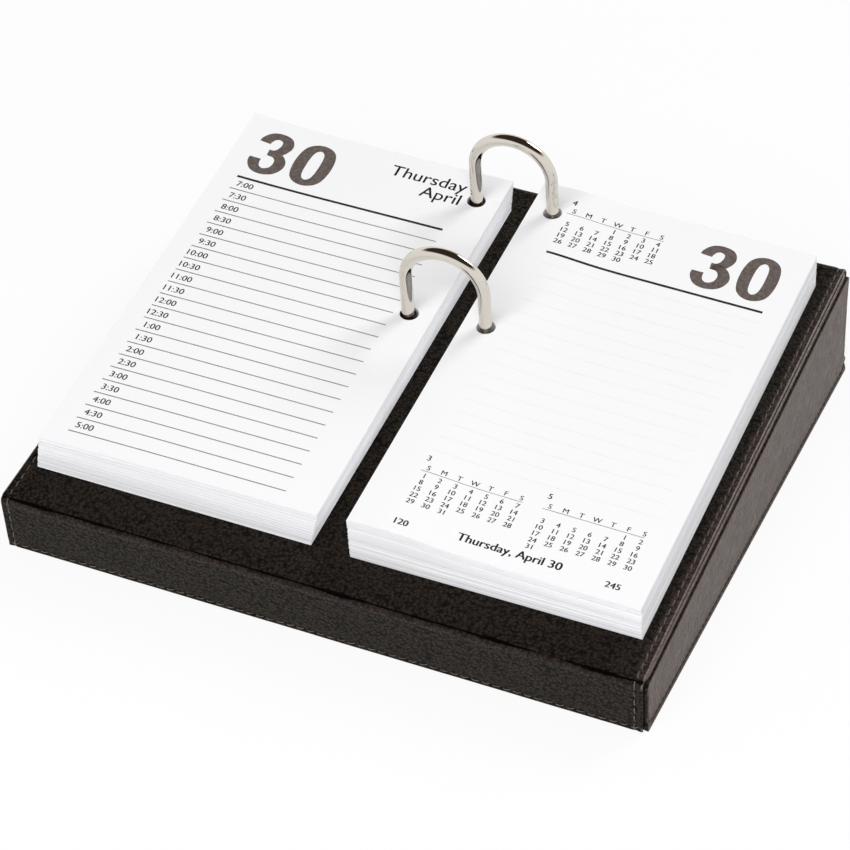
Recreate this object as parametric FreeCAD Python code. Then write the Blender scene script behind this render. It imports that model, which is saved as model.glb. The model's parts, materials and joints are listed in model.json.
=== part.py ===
import FreeCAD, Part
import math
import os

# Desk calendar: two stacks of loose punched pages lie side by side on a sloping, hollow board base
# covered in leather. Two wire arches carry the pages, which turn over them one by one. A flat
# drawer slides out of the base to the right, and its leather-covered front is the right side.
#
# Frame: +X right, +Y rear, +Z up, origin on the desk in the middle of the footprint.
# Nearly all of it is drawn in deck coordinates (x, u, n): x starts in the middle between the two
# stacks, u runs up the slope from the upper front edge, and n is the height above the leather,
# square to it. The walls stand square to the top, so they lean a little. All lengths are
# millimetres.

Vector = FreeCAD.Vector

# Pages
PAGE_WIDTH = 88.9
PAGE_LENGTH = 152.4
BINDING_HEIGHT = 14.8           # stack height at the punched edge
OUTER_HEIGHT = 12.5             # stack height at the free edge, where the paper lies closer
LEAF_THICKNESS = 0.12
LEAF_CLEARANCE = 0.02
HOLE_TO_BINDING_EDGE = 7.5
HOLE_TO_TOP_EDGE = 12.5
PAGE_HOLE_CLEARANCE = 0.25      # radial, around the posts

# Arches and the posts that hold them
ARCH_SPAN = 25.4                # between leg centres
ARCH_PITCH = 54.0               # between the two arches, along the slope
ARCH_LEG_RISE = 14.0            # straight leg above the page
WIRE_RADIUS = 1.95
WIRE_CHAMFER = 0.5
LEG_ENGAGEMENT = 12.0
RUNNING_CLEARANCE = 0.05
POST_WALL = 0.6
POST_RECESS = 1.7               # top of a post below the page surface
POST_LIP_RADIUS = 0.25
POST_RIM_WIDTH = 1.4            # riveted rim under the plate
POST_RIM_HEIGHT = 1.0
POST_CLEARANCE = 0.2            # radial, in board, padding and leather

# Base
FRONT_HEIGHT = 20.9             # upper front edge above the desk
SLOPE_DEGREES = 7.04
SIDE_MARGIN = 6.0
FRONT_LEDGE = 15.1
BACK_MARGIN = 12.5
COVER_THICKNESS = 1.0
PADDING_THICKNESS = 1.6
BEAD_WIDTH = 0.7                # lining edge beyond the wrap's edge
LINING_WIDTH = 7.0
SIDE_COVER_THICKNESS = 1.5
SIDE_COVER_END_INSET = 2.1      # behind the front face, and before the rear face
SIDE_COVER_GROOVE = 1.2         # between the lining and the side cover
SIDE_COVER_TOP_RADIUS = 1.5
SIDE_COVER_BOTTOM_RADIUS = 3.5
TOP_BOARD_THICKNESS = 4.0
WALL_THICKNESS = 6.0
BOTTOM_BOARD_THICKNESS = 3.0
BOARD_FRONT_RADIUS = 1.2
BOARD_REAR_RADIUS = 0.6
FELT_THICKNESS = 1.0
FELT_INSET = 1.5
COVER_GROUND_GAP = 0.1          # lower edge of the leather above the desk

# Drawer, which slides out to the right
DRAWER_TRAVEL = 110.0
DRAWER_FACE_PROUD = 1.45        # leather face beyond the wrap's edge
DRAWER_FACE_GAP = 0.4           # under the lining, and behind the wrap's front and rear leather
DRAWER_SEAT_GAP = 0.35          # between the closed front and the base's boards
DRAWER_GROUND_GAP = 0.3
DRAWER_FRONT_BOARD = 4.0
DRAWER_SIDE_GAP = 0.5           # between the box and the front and rear walls
DRAWER_FLOOR_GAP = 0.3          # above the bottom board
DRAWER_HEAD_GAP = 0.5           # below the plate's screws, and above the raised ear
DRAWER_END_GAP = 1.5            # behind the closed box, before the left wall
DRAWER_FLOOR = 2.0
DRAWER_WALL = 3.0
DRAWER_EAR_START = 30.0         # ear of the box's back wall, along the slope
DRAWER_EAR_LENGTH = 25.0
DRAWER_STOP_LENGTH = 8.0        # stop block that the ear meets, along X

# Arch plate and screws
PLATE_THICKNESS = 1.5
PLATE_MARGIN = 12.0             # beyond the outermost posts
PLATE_RADIUS = 3.0
PLATE_SCREW_INSET = 4.0
PLATE_SCREW_RADIUS = 1.3
PLATE_SCREW_HEAD_RADIUS = 2.5
PLATE_SCREW_HEAD_HEIGHT = 1.5
PLATE_SCREW_COVER = 0.8         # board left over the screw's tip
BOTTOM_SCREW_RADIUS = 1.3
BOTTOM_SCREW_HEAD_RADIUS = 2.2
BOTTOM_SCREW_HEAD_HEIGHT = 1.6
BOTTOM_SCREW_INSET = 18.0       # outermost screws, from the ends of their walls
BOTTOM_SCREWS_PER_SIDE = 3
BOTTOM_SCREW_BITE = 0.6         # share of the front wall's height

# Worked out from the sizes above
SLOPE = math.radians(SLOPE_DEGREES)
DECK_LENGTH = FRONT_LEDGE + PAGE_LENGTH + BACK_MARGIN
STACK_GAP = ARCH_SPAN - 2 * HOLE_TO_BINDING_EDGE
WRAP_EDGE = STACK_GAP / 2 + PAGE_WIDTH + SIDE_MARGIN
LINING_EDGE = WRAP_EDGE + BEAD_WIDTH
DRAWER_FACE = WRAP_EDGE + DRAWER_FACE_PROUD
REAR_HEIGHT = FRONT_HEIGHT + DECK_LENGTH * math.sin(SLOPE)
REAR_LEAN = (REAR_HEIGHT - COVER_GROUND_GAP) * math.tan(SLOPE)
BOARD_INSET = COVER_THICKNESS + PADDING_THICKNESS
ROUNDED_OFF = (BOARD_FRONT_RADIUS + BOARD_INSET) * (math.cos(SLOPE) + math.sin(SLOPE) - 1)
BASE_DEPTH = DECK_LENGTH * math.cos(SLOPE) + REAR_LEAN - ROUNDED_OFF
DECK_START_Y = -BASE_DEPTH / 2 - ROUNDED_OFF
DECK_START_X = (LINING_EDGE - max(LINING_EDGE, DRAWER_FACE)) / 2
REAR_ARCH_U = FRONT_LEDGE + PAGE_LENGTH - HOLE_TO_TOP_EDGE
FRONT_ARCH_U = REAR_ARCH_U - ARCH_PITCH
BORE_RADIUS = WIRE_RADIUS + RUNNING_CLEARANCE
POST_RADIUS = BORE_RADIUS + POST_WALL
PAGE_HOLE_RADIUS = POST_RADIUS + PAGE_HOLE_CLEARANCE
BOARD_LEFT = SIDE_COVER_THICKNESS - WRAP_EDGE
DRAWER_FRONT_BACK = DRAWER_FACE - SIDE_COVER_THICKNESS - DRAWER_FRONT_BOARD
BOARD_RIGHT = DRAWER_FRONT_BACK - DRAWER_SEAT_GAP
WALL_BOTTOM = FELT_THICKNESS + BOTTOM_BOARD_THICKNESS
PLATE_TOP = -(BOARD_INSET + TOP_BOARD_THICKNESS)
PLATE_BOTTOM = PLATE_TOP - PLATE_THICKNESS
DRAWER_FOOT = WALL_BOTTOM + DRAWER_FLOOR_GAP
DRAWER_BACK = BOARD_LEFT + WALL_THICKNESS + DRAWER_END_GAP
DRAWER_U_LOW = BOARD_INSET + WALL_THICKNESS + DRAWER_SIDE_GAP
DRAWER_U_HIGH = DECK_LENGTH - DRAWER_U_LOW
PAGE_SLANT = (BINDING_HEIGHT - OUTER_HEIGHT) / PAGE_WIDTH
PAGE_AT_HOLE = BINDING_HEIGHT - PAGE_SLANT * HOLE_TO_BINDING_EDGE
POST_TOP = PAGE_AT_HOLE - POST_RECESS
LEG_BOTTOM = POST_TOP - LEG_ENGAGEMENT
HARDWARE_DEPTH = max(POST_RIM_HEIGHT, PLATE_SCREW_HEAD_HEIGHT)      # under the plate
DRAWER_TOP = PLATE_BOTTOM - HARDWARE_DEPTH - DRAWER_HEAD_GAP


def on_deck(shape):
    """Move a shape drawn in deck coordinates to its place on the base."""
    start = Vector(DECK_START_X, DECK_START_Y, FRONT_HEIGHT)
    turn = FreeCAD.Rotation(Vector(1, 0, 0), SLOPE_DEGREES)
    placed = shape.copy()
    placed.Placement = FreeCAD.Placement(start, turn).multiply(shape.Placement)
    return placed


def prism(points, along):
    """Closed polygon through the points, drawn out by the vector along."""
    face = Part.Face(Part.makePolygon(points + points[:1]))
    return face.extrude(along)


def cylinder(radius, x, u, low, high):
    """Upright cylinder in deck coordinates, from height low to height high."""
    return Part.makeCylinder(radius, high - low, Vector(x, u, low))


def level(u, height):
    """The n, at u, of the level plane that lies height above the desk."""
    return (height - FRONT_HEIGHT - u * math.sin(SLOPE)) / math.cos(SLOPE)


def along_x(corners, x_low, x_high):
    """Prism between two x places with the corners (u, n) as its section."""
    points = [Vector(x_low, u, n) for u, n in corners]
    return prism(points, Vector(x_high - x_low, 0, 0))


def section(u_low, u_high, top, bottom):
    """Corners (u, n) of a side outline with a sloping top and a level bottom."""
    return [(u_low, level(u_low, bottom)), (u_low, top), (u_high, top), (u_high, level(u_high, bottom))]


def round_along_x(solid, corner, radius):
    """Fillet the edge of a solid that runs along X through the corner (u, n)."""
    tolerance = 1e-6
    edges = [
        edge for edge in solid.Edges
        if all(math.hypot(v.Y - corner[0], v.Z - corner[1]) < tolerance for v in edge.Vertexes)
    ]
    return solid.makeFillet(radius, edges)


def wedge(inset, bottom, x_low, x_high):
    """Solid wedge whose upper edges keep the same centre of roundness at every inset."""
    corners = section(inset, DECK_LENGTH - inset, -inset, bottom)
    solid = along_x(corners, x_low, x_high)
    solid = round_along_x(solid, corners[1], BOARD_FRONT_RADIUS + BOARD_INSET - inset)
    return round_along_x(solid, corners[2], BOARD_REAR_RADIUS + BOARD_INSET - inset)


def upper_slab(inset, depth, x_low, x_high):
    """The part of a wedge that lies higher than depth under the leather top."""
    corners = [(0, -depth), (0, 0), (DECK_LENGTH, 0), (DECK_LENGTH, -depth)]
    return wedge(inset, FELT_THICKNESS, x_low, x_high).common(along_x(corners, x_low, x_high))


def wrap_layer(outer_inset, inner_inset, x_low, x_high):
    """Bent sheet over the front, top and rear, between two insets."""
    spare = 1.0
    outer = wedge(outer_inset, COVER_GROUND_GAP, x_low, x_high)
    inner = wedge(inner_inset, COVER_GROUND_GAP - spare, x_low - spare, x_high + spare)
    return on_deck(outer.cut(inner))


def leg_places():
    """The (x, u) places of the four arch legs, front pair first."""
    return [
        (side * ARCH_SPAN / 2, u)
        for u in (FRONT_ARCH_U, REAR_ARCH_U)
        for side in (-1, 1)
    ]


def drill_posts(solid, radius):
    """Cut holes of the radius through a solid of the base, at the four posts."""
    low = PLATE_BOTTOM - POST_RIM_HEIGHT
    for x, u in leg_places():
        solid = solid.cut(on_deck(cylinder(radius, x, u, low, BINDING_HEIGHT)))
    return solid


def wrap_cover():
    """Leather over the front, top and rear, with holes for the posts."""
    layer = wrap_layer(0, COVER_THICKNESS, -WRAP_EDGE, WRAP_EDGE)
    return drill_posts(layer, POST_RADIUS + POST_CLEARANCE)


def wrap_padding():
    """Foam under the leather, between the two edge linings."""
    layer = wrap_layer(COVER_THICKNESS, BOARD_INSET, BOARD_LEFT, BOARD_RIGHT)
    layer = layer.cut(edge_lining(-1)).cut(edge_lining(1))
    return drill_posts(layer, POST_RADIUS + POST_CLEARANCE)


def edge_lining(side):
    """Second leather layer under one edge of the wrap's top, on the side -1 or 1."""
    ends = sorted([side * (LINING_EDGE - LINING_WIDTH), side * LINING_EDGE])
    return on_deck(upper_slab(COVER_THICKNESS, BOARD_INSET, *ends))


def side_panel(corners, x_low, x_high):
    """Panel on one side of the base, with rounded corners."""
    panel = along_x(corners, x_low, x_high)
    for i, corner in enumerate(corners):
        upper = i in (1, 2)
        radius = SIDE_COVER_TOP_RADIUS if upper else SIDE_COVER_BOTTOM_RADIUS
        panel = round_along_x(panel, corner, radius)
    return on_deck(panel)


def side_cover():
    """Leather on the left side wall, set in from the rim."""
    low, high = SIDE_COVER_END_INSET, DECK_LENGTH - SIDE_COVER_END_INSET
    corners = section(low, high, -BOARD_INSET - SIDE_COVER_GROOVE, COVER_GROUND_GAP)
    return side_panel(corners, -WRAP_EDGE, BOARD_LEFT)


def drawer_outline():
    """Corners (u, n) of the drawer's front, inside the wrap and below the lining."""
    low = COVER_THICKNESS + DRAWER_FACE_GAP
    return section(low, DECK_LENGTH - low, -BOARD_INSET - DRAWER_FACE_GAP, DRAWER_GROUND_GAP)


def top_board():
    """Sloping board under the padding, with post holes and pilot holes for the plate."""
    board = on_deck(upper_slab(BOARD_INSET, -PLATE_TOP, BOARD_LEFT, BOARD_RIGHT))
    return drill_posts(board, POST_RADIUS + POST_CLEARANCE).cut(plate_screws())


def wall(u_low, u_high, x_low, x_high):
    """Wall between the bottom board and the top board."""
    corners = section(u_low, u_high, PLATE_TOP, WALL_BOTTOM)
    return on_deck(along_x(corners, x_low, x_high)).cut(bottom_screws())


def cross_board(side):
    """Front (-1) or rear (1) wall of the base."""
    outer = BOARD_INSET if side < 0 else DECK_LENGTH - BOARD_INSET
    inner = outer - side * WALL_THICKNESS
    return wall(min(outer, inner), max(outer, inner), BOARD_LEFT, BOARD_RIGHT)


def side_board():
    """Left wall, between the front and rear walls."""
    inset = BOARD_INSET + WALL_THICKNESS
    return wall(inset, DECK_LENGTH - inset, BOARD_LEFT, BOARD_LEFT + WALL_THICKNESS)


def level_sheet(u_low, u_high, x_low, x_high, low, high):
    """Level sheet between two heights above the desk, with its ends square to the top."""
    corners = [(u, level(u, low)) for u in (u_low, u_high)]
    corners += [(u, level(u, high)) for u in (u_high, u_low)]
    return on_deck(along_x(corners, x_low, x_high))


def floor_sheet(inset, low, high):
    """Level sheet under the base, set in from the wooden shell by inset."""
    u_low, u_high = BOARD_INSET + inset, DECK_LENGTH - BOARD_INSET - inset
    return level_sheet(u_low, u_high, BOARD_LEFT + inset, BOARD_RIGHT - inset, low, high)


def bottom_board():
    """Board that closes the base from below, countersunk for its screws."""
    return floor_sheet(0, FELT_THICKNESS, WALL_BOTTOM).cut(bottom_screws())


def bottom_felt():
    """Felt that the base rests on."""
    return floor_sheet(FELT_INSET, 0, FELT_THICKNESS)


def bottom_screw(x, u):
    """Countersunk wood screw, driven up through the bottom board into the wall at u."""
    front = BOARD_INSET + WALL_THICKNESS
    wall_top = FRONT_HEIGHT + front * math.sin(SLOPE) + PLATE_TOP * math.cos(SLOPE)
    tip = WALL_BOTTOM + BOTTOM_SCREW_BITE * (wall_top - WALL_BOTTOM)
    y = DECK_START_Y + u * math.cos(SLOPE) - level(u, WALL_BOTTOM) * math.sin(SLOPE)
    foot = Vector(DECK_START_X + x, y, FELT_THICKNESS)
    head = Part.makeCone(
        BOTTOM_SCREW_HEAD_RADIUS, BOTTOM_SCREW_RADIUS, BOTTOM_SCREW_HEAD_HEIGHT, foot
    )
    return head.fuse(Part.makeCylinder(BOTTOM_SCREW_RADIUS, tip - FELT_THICKNESS, foot)).removeSplitter()


def bottom_screws():
    """Screws into the left wall, and into the middle and right of the front and rear walls."""
    step = (DECK_LENGTH - 2 * BOTTOM_SCREW_INSET) / (BOTTOM_SCREWS_PER_SIDE - 1)
    rows = [BOTTOM_SCREW_INSET + i * step for i in range(BOTTOM_SCREWS_PER_SIDE)]
    places = [(BOARD_LEFT + WALL_THICKNESS / 2, row) for row in rows]
    u = BOARD_INSET + WALL_THICKNESS / 2
    places += [(x, v) for x in (0, BOARD_RIGHT - BOTTOM_SCREW_INSET) for v in (u, DECK_LENGTH - u)]
    return Part.makeCompound([bottom_screw(*place) for place in places])


def drawer_front():
    """Board of the drawer's front, which covers the open right side of the base."""
    return side_panel(drawer_outline(), DRAWER_FRONT_BACK, DRAWER_FACE - SIDE_COVER_THICKNESS)


def drawer_face():
    """Leather on the drawer's front."""
    return side_panel(drawer_outline(), DRAWER_FACE - SIDE_COVER_THICKNESS, DRAWER_FACE)


def drawer_floor():
    """Floor of the drawer's box, close above the bottom board."""
    ends = (DRAWER_BACK, DRAWER_FRONT_BACK)
    return level_sheet(DRAWER_U_LOW, DRAWER_U_HIGH, *ends, DRAWER_FOOT, DRAWER_FOOT + DRAWER_FLOOR)


def drawer_wall(u_low, u_high, x_low, x_high, top):
    """Wall that stands on the drawer's floor."""
    corners = section(u_low, u_high, top, DRAWER_FOOT + DRAWER_FLOOR)
    return along_x(corners, x_low, x_high)


def drawer_side_wall(side):
    """Front (-1) or rear (1) wall of the drawer's box."""
    outer = DRAWER_U_LOW if side < 0 else DRAWER_U_HIGH
    inner = outer - side * DRAWER_WALL
    ends = (DRAWER_BACK, DRAWER_FRONT_BACK)
    return on_deck(drawer_wall(min(outer, inner), max(outer, inner), *ends, DRAWER_TOP))


def drawer_ear_ends():
    """Low and high u of the ear on the drawer's back wall."""
    return DRAWER_EAR_START, DRAWER_EAR_START + DRAWER_EAR_LENGTH


def drawer_back_wall():
    """Left wall of the drawer's box, with an ear that meets the stop when the drawer is out."""
    ends = (DRAWER_BACK, DRAWER_BACK + DRAWER_WALL)
    inset = DRAWER_U_LOW + DRAWER_WALL
    back = drawer_wall(inset, DECK_LENGTH - inset, *ends, DRAWER_TOP)
    ear = drawer_wall(*drawer_ear_ends(), *ends, PLATE_TOP - DRAWER_HEAD_GAP)
    return on_deck(back.fuse(ear).removeSplitter())


def drawer_stop():
    """Block under the top board that the ear of the open drawer meets."""
    u_low, u_high = drawer_ear_ends()
    start = DRAWER_BACK + DRAWER_WALL + DRAWER_TRAVEL + RUNNING_CLEARANCE
    corners = [(u_low, DRAWER_TOP + DRAWER_HEAD_GAP), (u_low, PLATE_TOP),
               (u_high, PLATE_TOP), (u_high, DRAWER_TOP + DRAWER_HEAD_GAP)]
    return on_deck(along_x(corners, start, start + DRAWER_STOP_LENGTH))


def arch_plate_ends():
    """Low and high (x, u) corners of the plate that joins the four posts."""
    x = ARCH_SPAN / 2 + PLATE_MARGIN
    return (-x, FRONT_ARCH_U - PLATE_MARGIN), (x, REAR_ARCH_U + PLATE_MARGIN)


def arch_plate():
    """Steel plate under the top board, with holes for the posts and its screws."""
    (x_low, u_low), (x_high, u_high) = arch_plate_ends()
    start = Vector(x_low, u_low, PLATE_BOTTOM)
    plate = Part.makeBox(x_high - x_low, u_high - u_low, PLATE_THICKNESS, start)
    upright = [e for e in plate.Edges if abs(e.tangentAt(e.FirstParameter).z) > 0.5]
    plate = on_deck(plate.makeFillet(PLATE_RADIUS, upright))
    return drill_posts(plate, POST_RADIUS).cut(plate_screws())


def plate_screws():
    """Four pan-head screws that hold the plate to the top board."""
    (x_low, u_low), (x_high, u_high) = arch_plate_ends()
    inset = PLATE_SCREW_INSET
    tip = -BOARD_INSET - PLATE_SCREW_COVER
    screws = []
    for x in (x_low + inset, x_high - inset):
        for u in (u_low + inset, u_high - inset):
            low = PLATE_BOTTOM - PLATE_SCREW_HEAD_HEIGHT
            head = cylinder(PLATE_SCREW_HEAD_RADIUS, x, u, low, PLATE_BOTTOM)
            shank = cylinder(PLATE_SCREW_RADIUS, x, u, low, tip)
            screws.append(on_deck(head.fuse(shank).removeSplitter()))
    return Part.makeCompound(screws)


def post(x, u):
    """Socket post for one arch leg, riveted over under the plate."""
    low = PLATE_BOTTOM - POST_RIM_HEIGHT
    tube = cylinder(POST_RADIUS, x, u, low, POST_TOP)
    top_edge = [e for e in tube.Edges if all(abs(v.Z - POST_TOP) < 1e-6 for v in e.Vertexes)
                and e.Curve.TypeId == "Part::GeomCircle"]
    tube = tube.makeFillet(POST_LIP_RADIUS, top_edge)
    rim = cylinder(POST_RADIUS + POST_RIM_WIDTH, x, u, low, PLATE_BOTTOM)
    bore = cylinder(BORE_RADIUS, x, u, LEG_BOTTOM, POST_TOP + 1)
    return on_deck(tube.fuse(rim).removeSplitter().cut(bore))


def arch(u):
    """Wire bent to two straight legs and a half circle, standing in its posts."""
    radius = ARCH_SPAN / 2
    spring_line = PAGE_AT_HOLE + ARCH_LEG_RISE
    foot, shoulder = Vector(-radius, u, LEG_BOTTOM), Vector(-radius, u, spring_line)
    crown = Vector(0, u, spring_line + radius)
    far_shoulder, far_foot = Vector(radius, u, spring_line), Vector(radius, u, LEG_BOTTOM)
    path = Part.Wire([
        Part.LineSegment(foot, shoulder).toShape(),
        Part.Arc(shoulder, crown, far_shoulder).toShape(),
        Part.LineSegment(far_shoulder, far_foot).toShape(),
    ])
    ring = Part.Wire([Part.Circle(foot, Vector(0, 0, 1), WIRE_RADIUS).toShape()])
    wire = path.makePipeShell([ring], True, False)
    feet = [e for e in wire.Edges if all(abs(v.Z - LEG_BOTTOM) < 1e-6 for v in e.Vertexes)]
    return on_deck(wire.makeChamfer(WIRE_CHAMFER, feet))


def page_edges(side):
    """Binding and free edge (x) of the stack on the side -1 or 1."""
    binding = side * STACK_GAP / 2
    return binding, binding + side * PAGE_WIDTH


def paper(side, lower, upper, hole_radius):
    """Punched paper between two (binding, free) pairs of edge heights."""
    binding, free = page_edges(side)
    points = [
        Vector(binding, FRONT_LEDGE, lower[0]), Vector(free, FRONT_LEDGE, lower[1]),
        Vector(free, FRONT_LEDGE, upper[1]), Vector(binding, FRONT_LEDGE, upper[0]),
    ]
    sheet = prism(points, Vector(0, PAGE_LENGTH, 0))
    for x, u in leg_places():
        if x * side > 0:
            sheet = sheet.cut(cylinder(hole_radius, x, u, -1, 2 * BINDING_HEIGHT))
    return on_deck(sheet)


def page_block(side):
    """Stack of pages on one side, below its top leaf."""
    return paper(side, (0, 0), (BINDING_HEIGHT, OUTER_HEIGHT), PAGE_HOLE_RADIUS)


def top_leaf(side):
    """The one leaf that is turned next, on the stack of one side."""
    low = (BINDING_HEIGHT + LEAF_CLEARANCE, OUTER_HEIGHT + LEAF_CLEARANCE)
    high = (low[0] + LEAF_THICKNESS, low[1] + LEAF_THICKNESS)
    return paper(side, low, high, PAGE_HOLE_RADIUS)


def all_parts():
    """Every node's name and shape."""
    parts = {
        "bottom_felt": bottom_felt(), "bottom_board": bottom_board(), "bottom_screws": bottom_screws(),
        "front_board": cross_board(-1), "rear_board": cross_board(1),
        "top_board": top_board(), "arch_plate": arch_plate(), "plate_screws": plate_screws(),
        "wrap_padding": wrap_padding(), "wrap_cover": wrap_cover(),
        "left_side_board": side_board(), "left_side_cover": side_cover(),
        "drawer_front": drawer_front(), "drawer_face": drawer_face(), "drawer_floor": drawer_floor(),
        "drawer_front_wall": drawer_side_wall(-1), "drawer_rear_wall": drawer_side_wall(1),
        "drawer_back_wall": drawer_back_wall(), "drawer_stop": drawer_stop(),
        "front_arch": arch(FRONT_ARCH_U), "rear_arch": arch(REAR_ARCH_U),
    }
    for side, name in ((-1, "left"), (1, "right")):
        parts[name + "_edge_lining"] = edge_lining(side)
        parts[name + "_pages"] = page_block(side)
        parts[name + "_leaf"] = top_leaf(side)
    names = ["front_left_post", "front_right_post", "rear_left_post", "rear_right_post"]
    for name, place in zip(names, leg_places()):
        parts[name] = post(*place)
    return parts


os.makedirs("parts", exist_ok=True)
for node, shape in all_parts().items():
    shape.exportStep("parts/" + node + ".step")
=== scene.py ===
"""Desk calendar: loose pages on two wire arches, over a sloping base covered in stitched leather.

The pieces are drawn in deck millimetres (x across, u up the slope from the upper front edge, n square
to the leather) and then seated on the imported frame, from which all main sizes are read.
"""

import json
import logging
import math
from dataclasses import asdict, dataclass, field, replace
from enum import Enum
from functools import partial
from typing import Any, Sequence

import bpy
import numpy as np
from bpy.types import Material, Mesh, Node, NodeOutputs, NodeSocket, NodeTree, Object
from mathutils import Matrix, Vector, noise

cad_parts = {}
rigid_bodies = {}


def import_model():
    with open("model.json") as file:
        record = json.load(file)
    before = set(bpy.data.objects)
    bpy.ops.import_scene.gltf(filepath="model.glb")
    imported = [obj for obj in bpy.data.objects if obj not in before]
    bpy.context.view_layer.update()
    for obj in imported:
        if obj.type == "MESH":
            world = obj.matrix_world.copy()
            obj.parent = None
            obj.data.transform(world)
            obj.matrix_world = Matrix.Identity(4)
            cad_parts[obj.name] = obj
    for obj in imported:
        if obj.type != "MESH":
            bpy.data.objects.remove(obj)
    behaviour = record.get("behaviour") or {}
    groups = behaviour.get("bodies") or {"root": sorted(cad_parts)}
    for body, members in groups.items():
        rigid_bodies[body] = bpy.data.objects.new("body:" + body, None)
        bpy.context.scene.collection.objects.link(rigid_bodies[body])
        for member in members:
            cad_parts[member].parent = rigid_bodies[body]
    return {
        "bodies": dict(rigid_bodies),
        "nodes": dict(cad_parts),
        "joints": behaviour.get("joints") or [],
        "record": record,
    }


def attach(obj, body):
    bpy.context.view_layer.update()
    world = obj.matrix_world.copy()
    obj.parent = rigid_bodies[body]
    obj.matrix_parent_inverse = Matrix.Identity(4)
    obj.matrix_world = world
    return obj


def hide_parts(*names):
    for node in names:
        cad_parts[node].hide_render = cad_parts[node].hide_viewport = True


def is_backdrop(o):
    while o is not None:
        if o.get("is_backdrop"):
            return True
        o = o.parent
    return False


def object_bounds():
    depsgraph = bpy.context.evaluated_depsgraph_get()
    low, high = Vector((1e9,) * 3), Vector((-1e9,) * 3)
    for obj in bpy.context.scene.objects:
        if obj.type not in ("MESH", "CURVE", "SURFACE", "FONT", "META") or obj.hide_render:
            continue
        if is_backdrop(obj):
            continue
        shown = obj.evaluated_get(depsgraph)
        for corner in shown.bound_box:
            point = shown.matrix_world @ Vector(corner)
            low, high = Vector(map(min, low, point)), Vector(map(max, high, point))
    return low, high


MM = 0.001
LOG = logging.getLogger("desk_calendar")

Array = np.ndarray
Faces = list[tuple[int, ...]]
Shape = tuple[Array, Faces]


class Side(Enum):
    """Left or right half of the calendar; the value is the sign of x."""

    LEFT = -1
    RIGHT = 1

    @property
    def label(self) -> str:
        """Lower-case word that starts the names of this side's nodes."""
        return self.name.lower()


class Layout(Enum):
    """Printed layout of a page: hours on a left-hand page, notes on a right-hand one."""

    HOURS = "hours"
    NOTES = "notes"


class Align(Enum):
    """Where a line of type is anchored; the value is the share of the line that lies left of it."""

    LEFT = 0.0
    CENTRE = 0.5
    RIGHT = 1.0


# ---- nodes and finishes


def linear(colour: str) -> tuple[float, float, float, float]:
    """Turn an sRGB hex colour into linear light.

    Args:
        colour: six hex digits with a leading #.

    Returns:
        Red, green, blue and an alpha of 1.
    """
    parts = [int(colour[i : i + 2], 16) / 255 for i in (1, 3, 5)]
    red, green, blue = (p / 12.92 if p <= 0.04045 else ((p + 0.055) / 1.055) ** 2.4 for p in parts)
    return red, green, blue, 1.0


def per_metre(size_mm: float) -> float:
    """Texture scale at which one cell of a pattern is size_mm wide."""
    return 1.0 / (size_mm * MM)


def add_node(tree: NodeTree, kind: str, settings: dict[Any, Any] | None = None,
             links: dict[Any, Node | NodeSocket] | None = None) -> Node:
    """Add one node with its settings and its incoming links.

    Args:
        tree: the tree that gets the node.
        kind: the node's type name.
        settings: properties of the node by name, or values of its inputs by name or number.
        links: what feeds its inputs, by their name or number; a node stands for its first output.

    Returns:
        The new node.
    """
    made = tree.nodes.new(kind)
    for key, value in (settings or {}).items():
        if isinstance(key, str) and hasattr(made, key):
            setattr(made, key, value)
        else:
            made.inputs[key].default_value = value
    for key, source in (links or {}).items():
        tree.links.new(source.outputs[0] if isinstance(source, Node) else source, made.inputs[key])
    return made


@dataclass(frozen=True)
class Finish:
    """A surface finish; each one is made once and shared by the pieces that wear it."""

    name: str

    def material(self) -> Material:
        """Make the material, or return it if it is already there.

        Returns:
            The node material named for the finish.
        """
        made = bpy.data.materials.get(self.name)
        if made is None:
            made = bpy.data.materials.new(self.name)
            made.use_nodes = True
            made.node_tree.nodes.clear()
            surface = self.shade(made.node_tree)
            add_node(made.node_tree, "ShaderNodeOutputMaterial", links={"Surface": surface})
        return made

    def shade(self, tree: NodeTree) -> Node:
        """Build the shader; each finish has its own."""
        raise NotImplementedError


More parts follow.
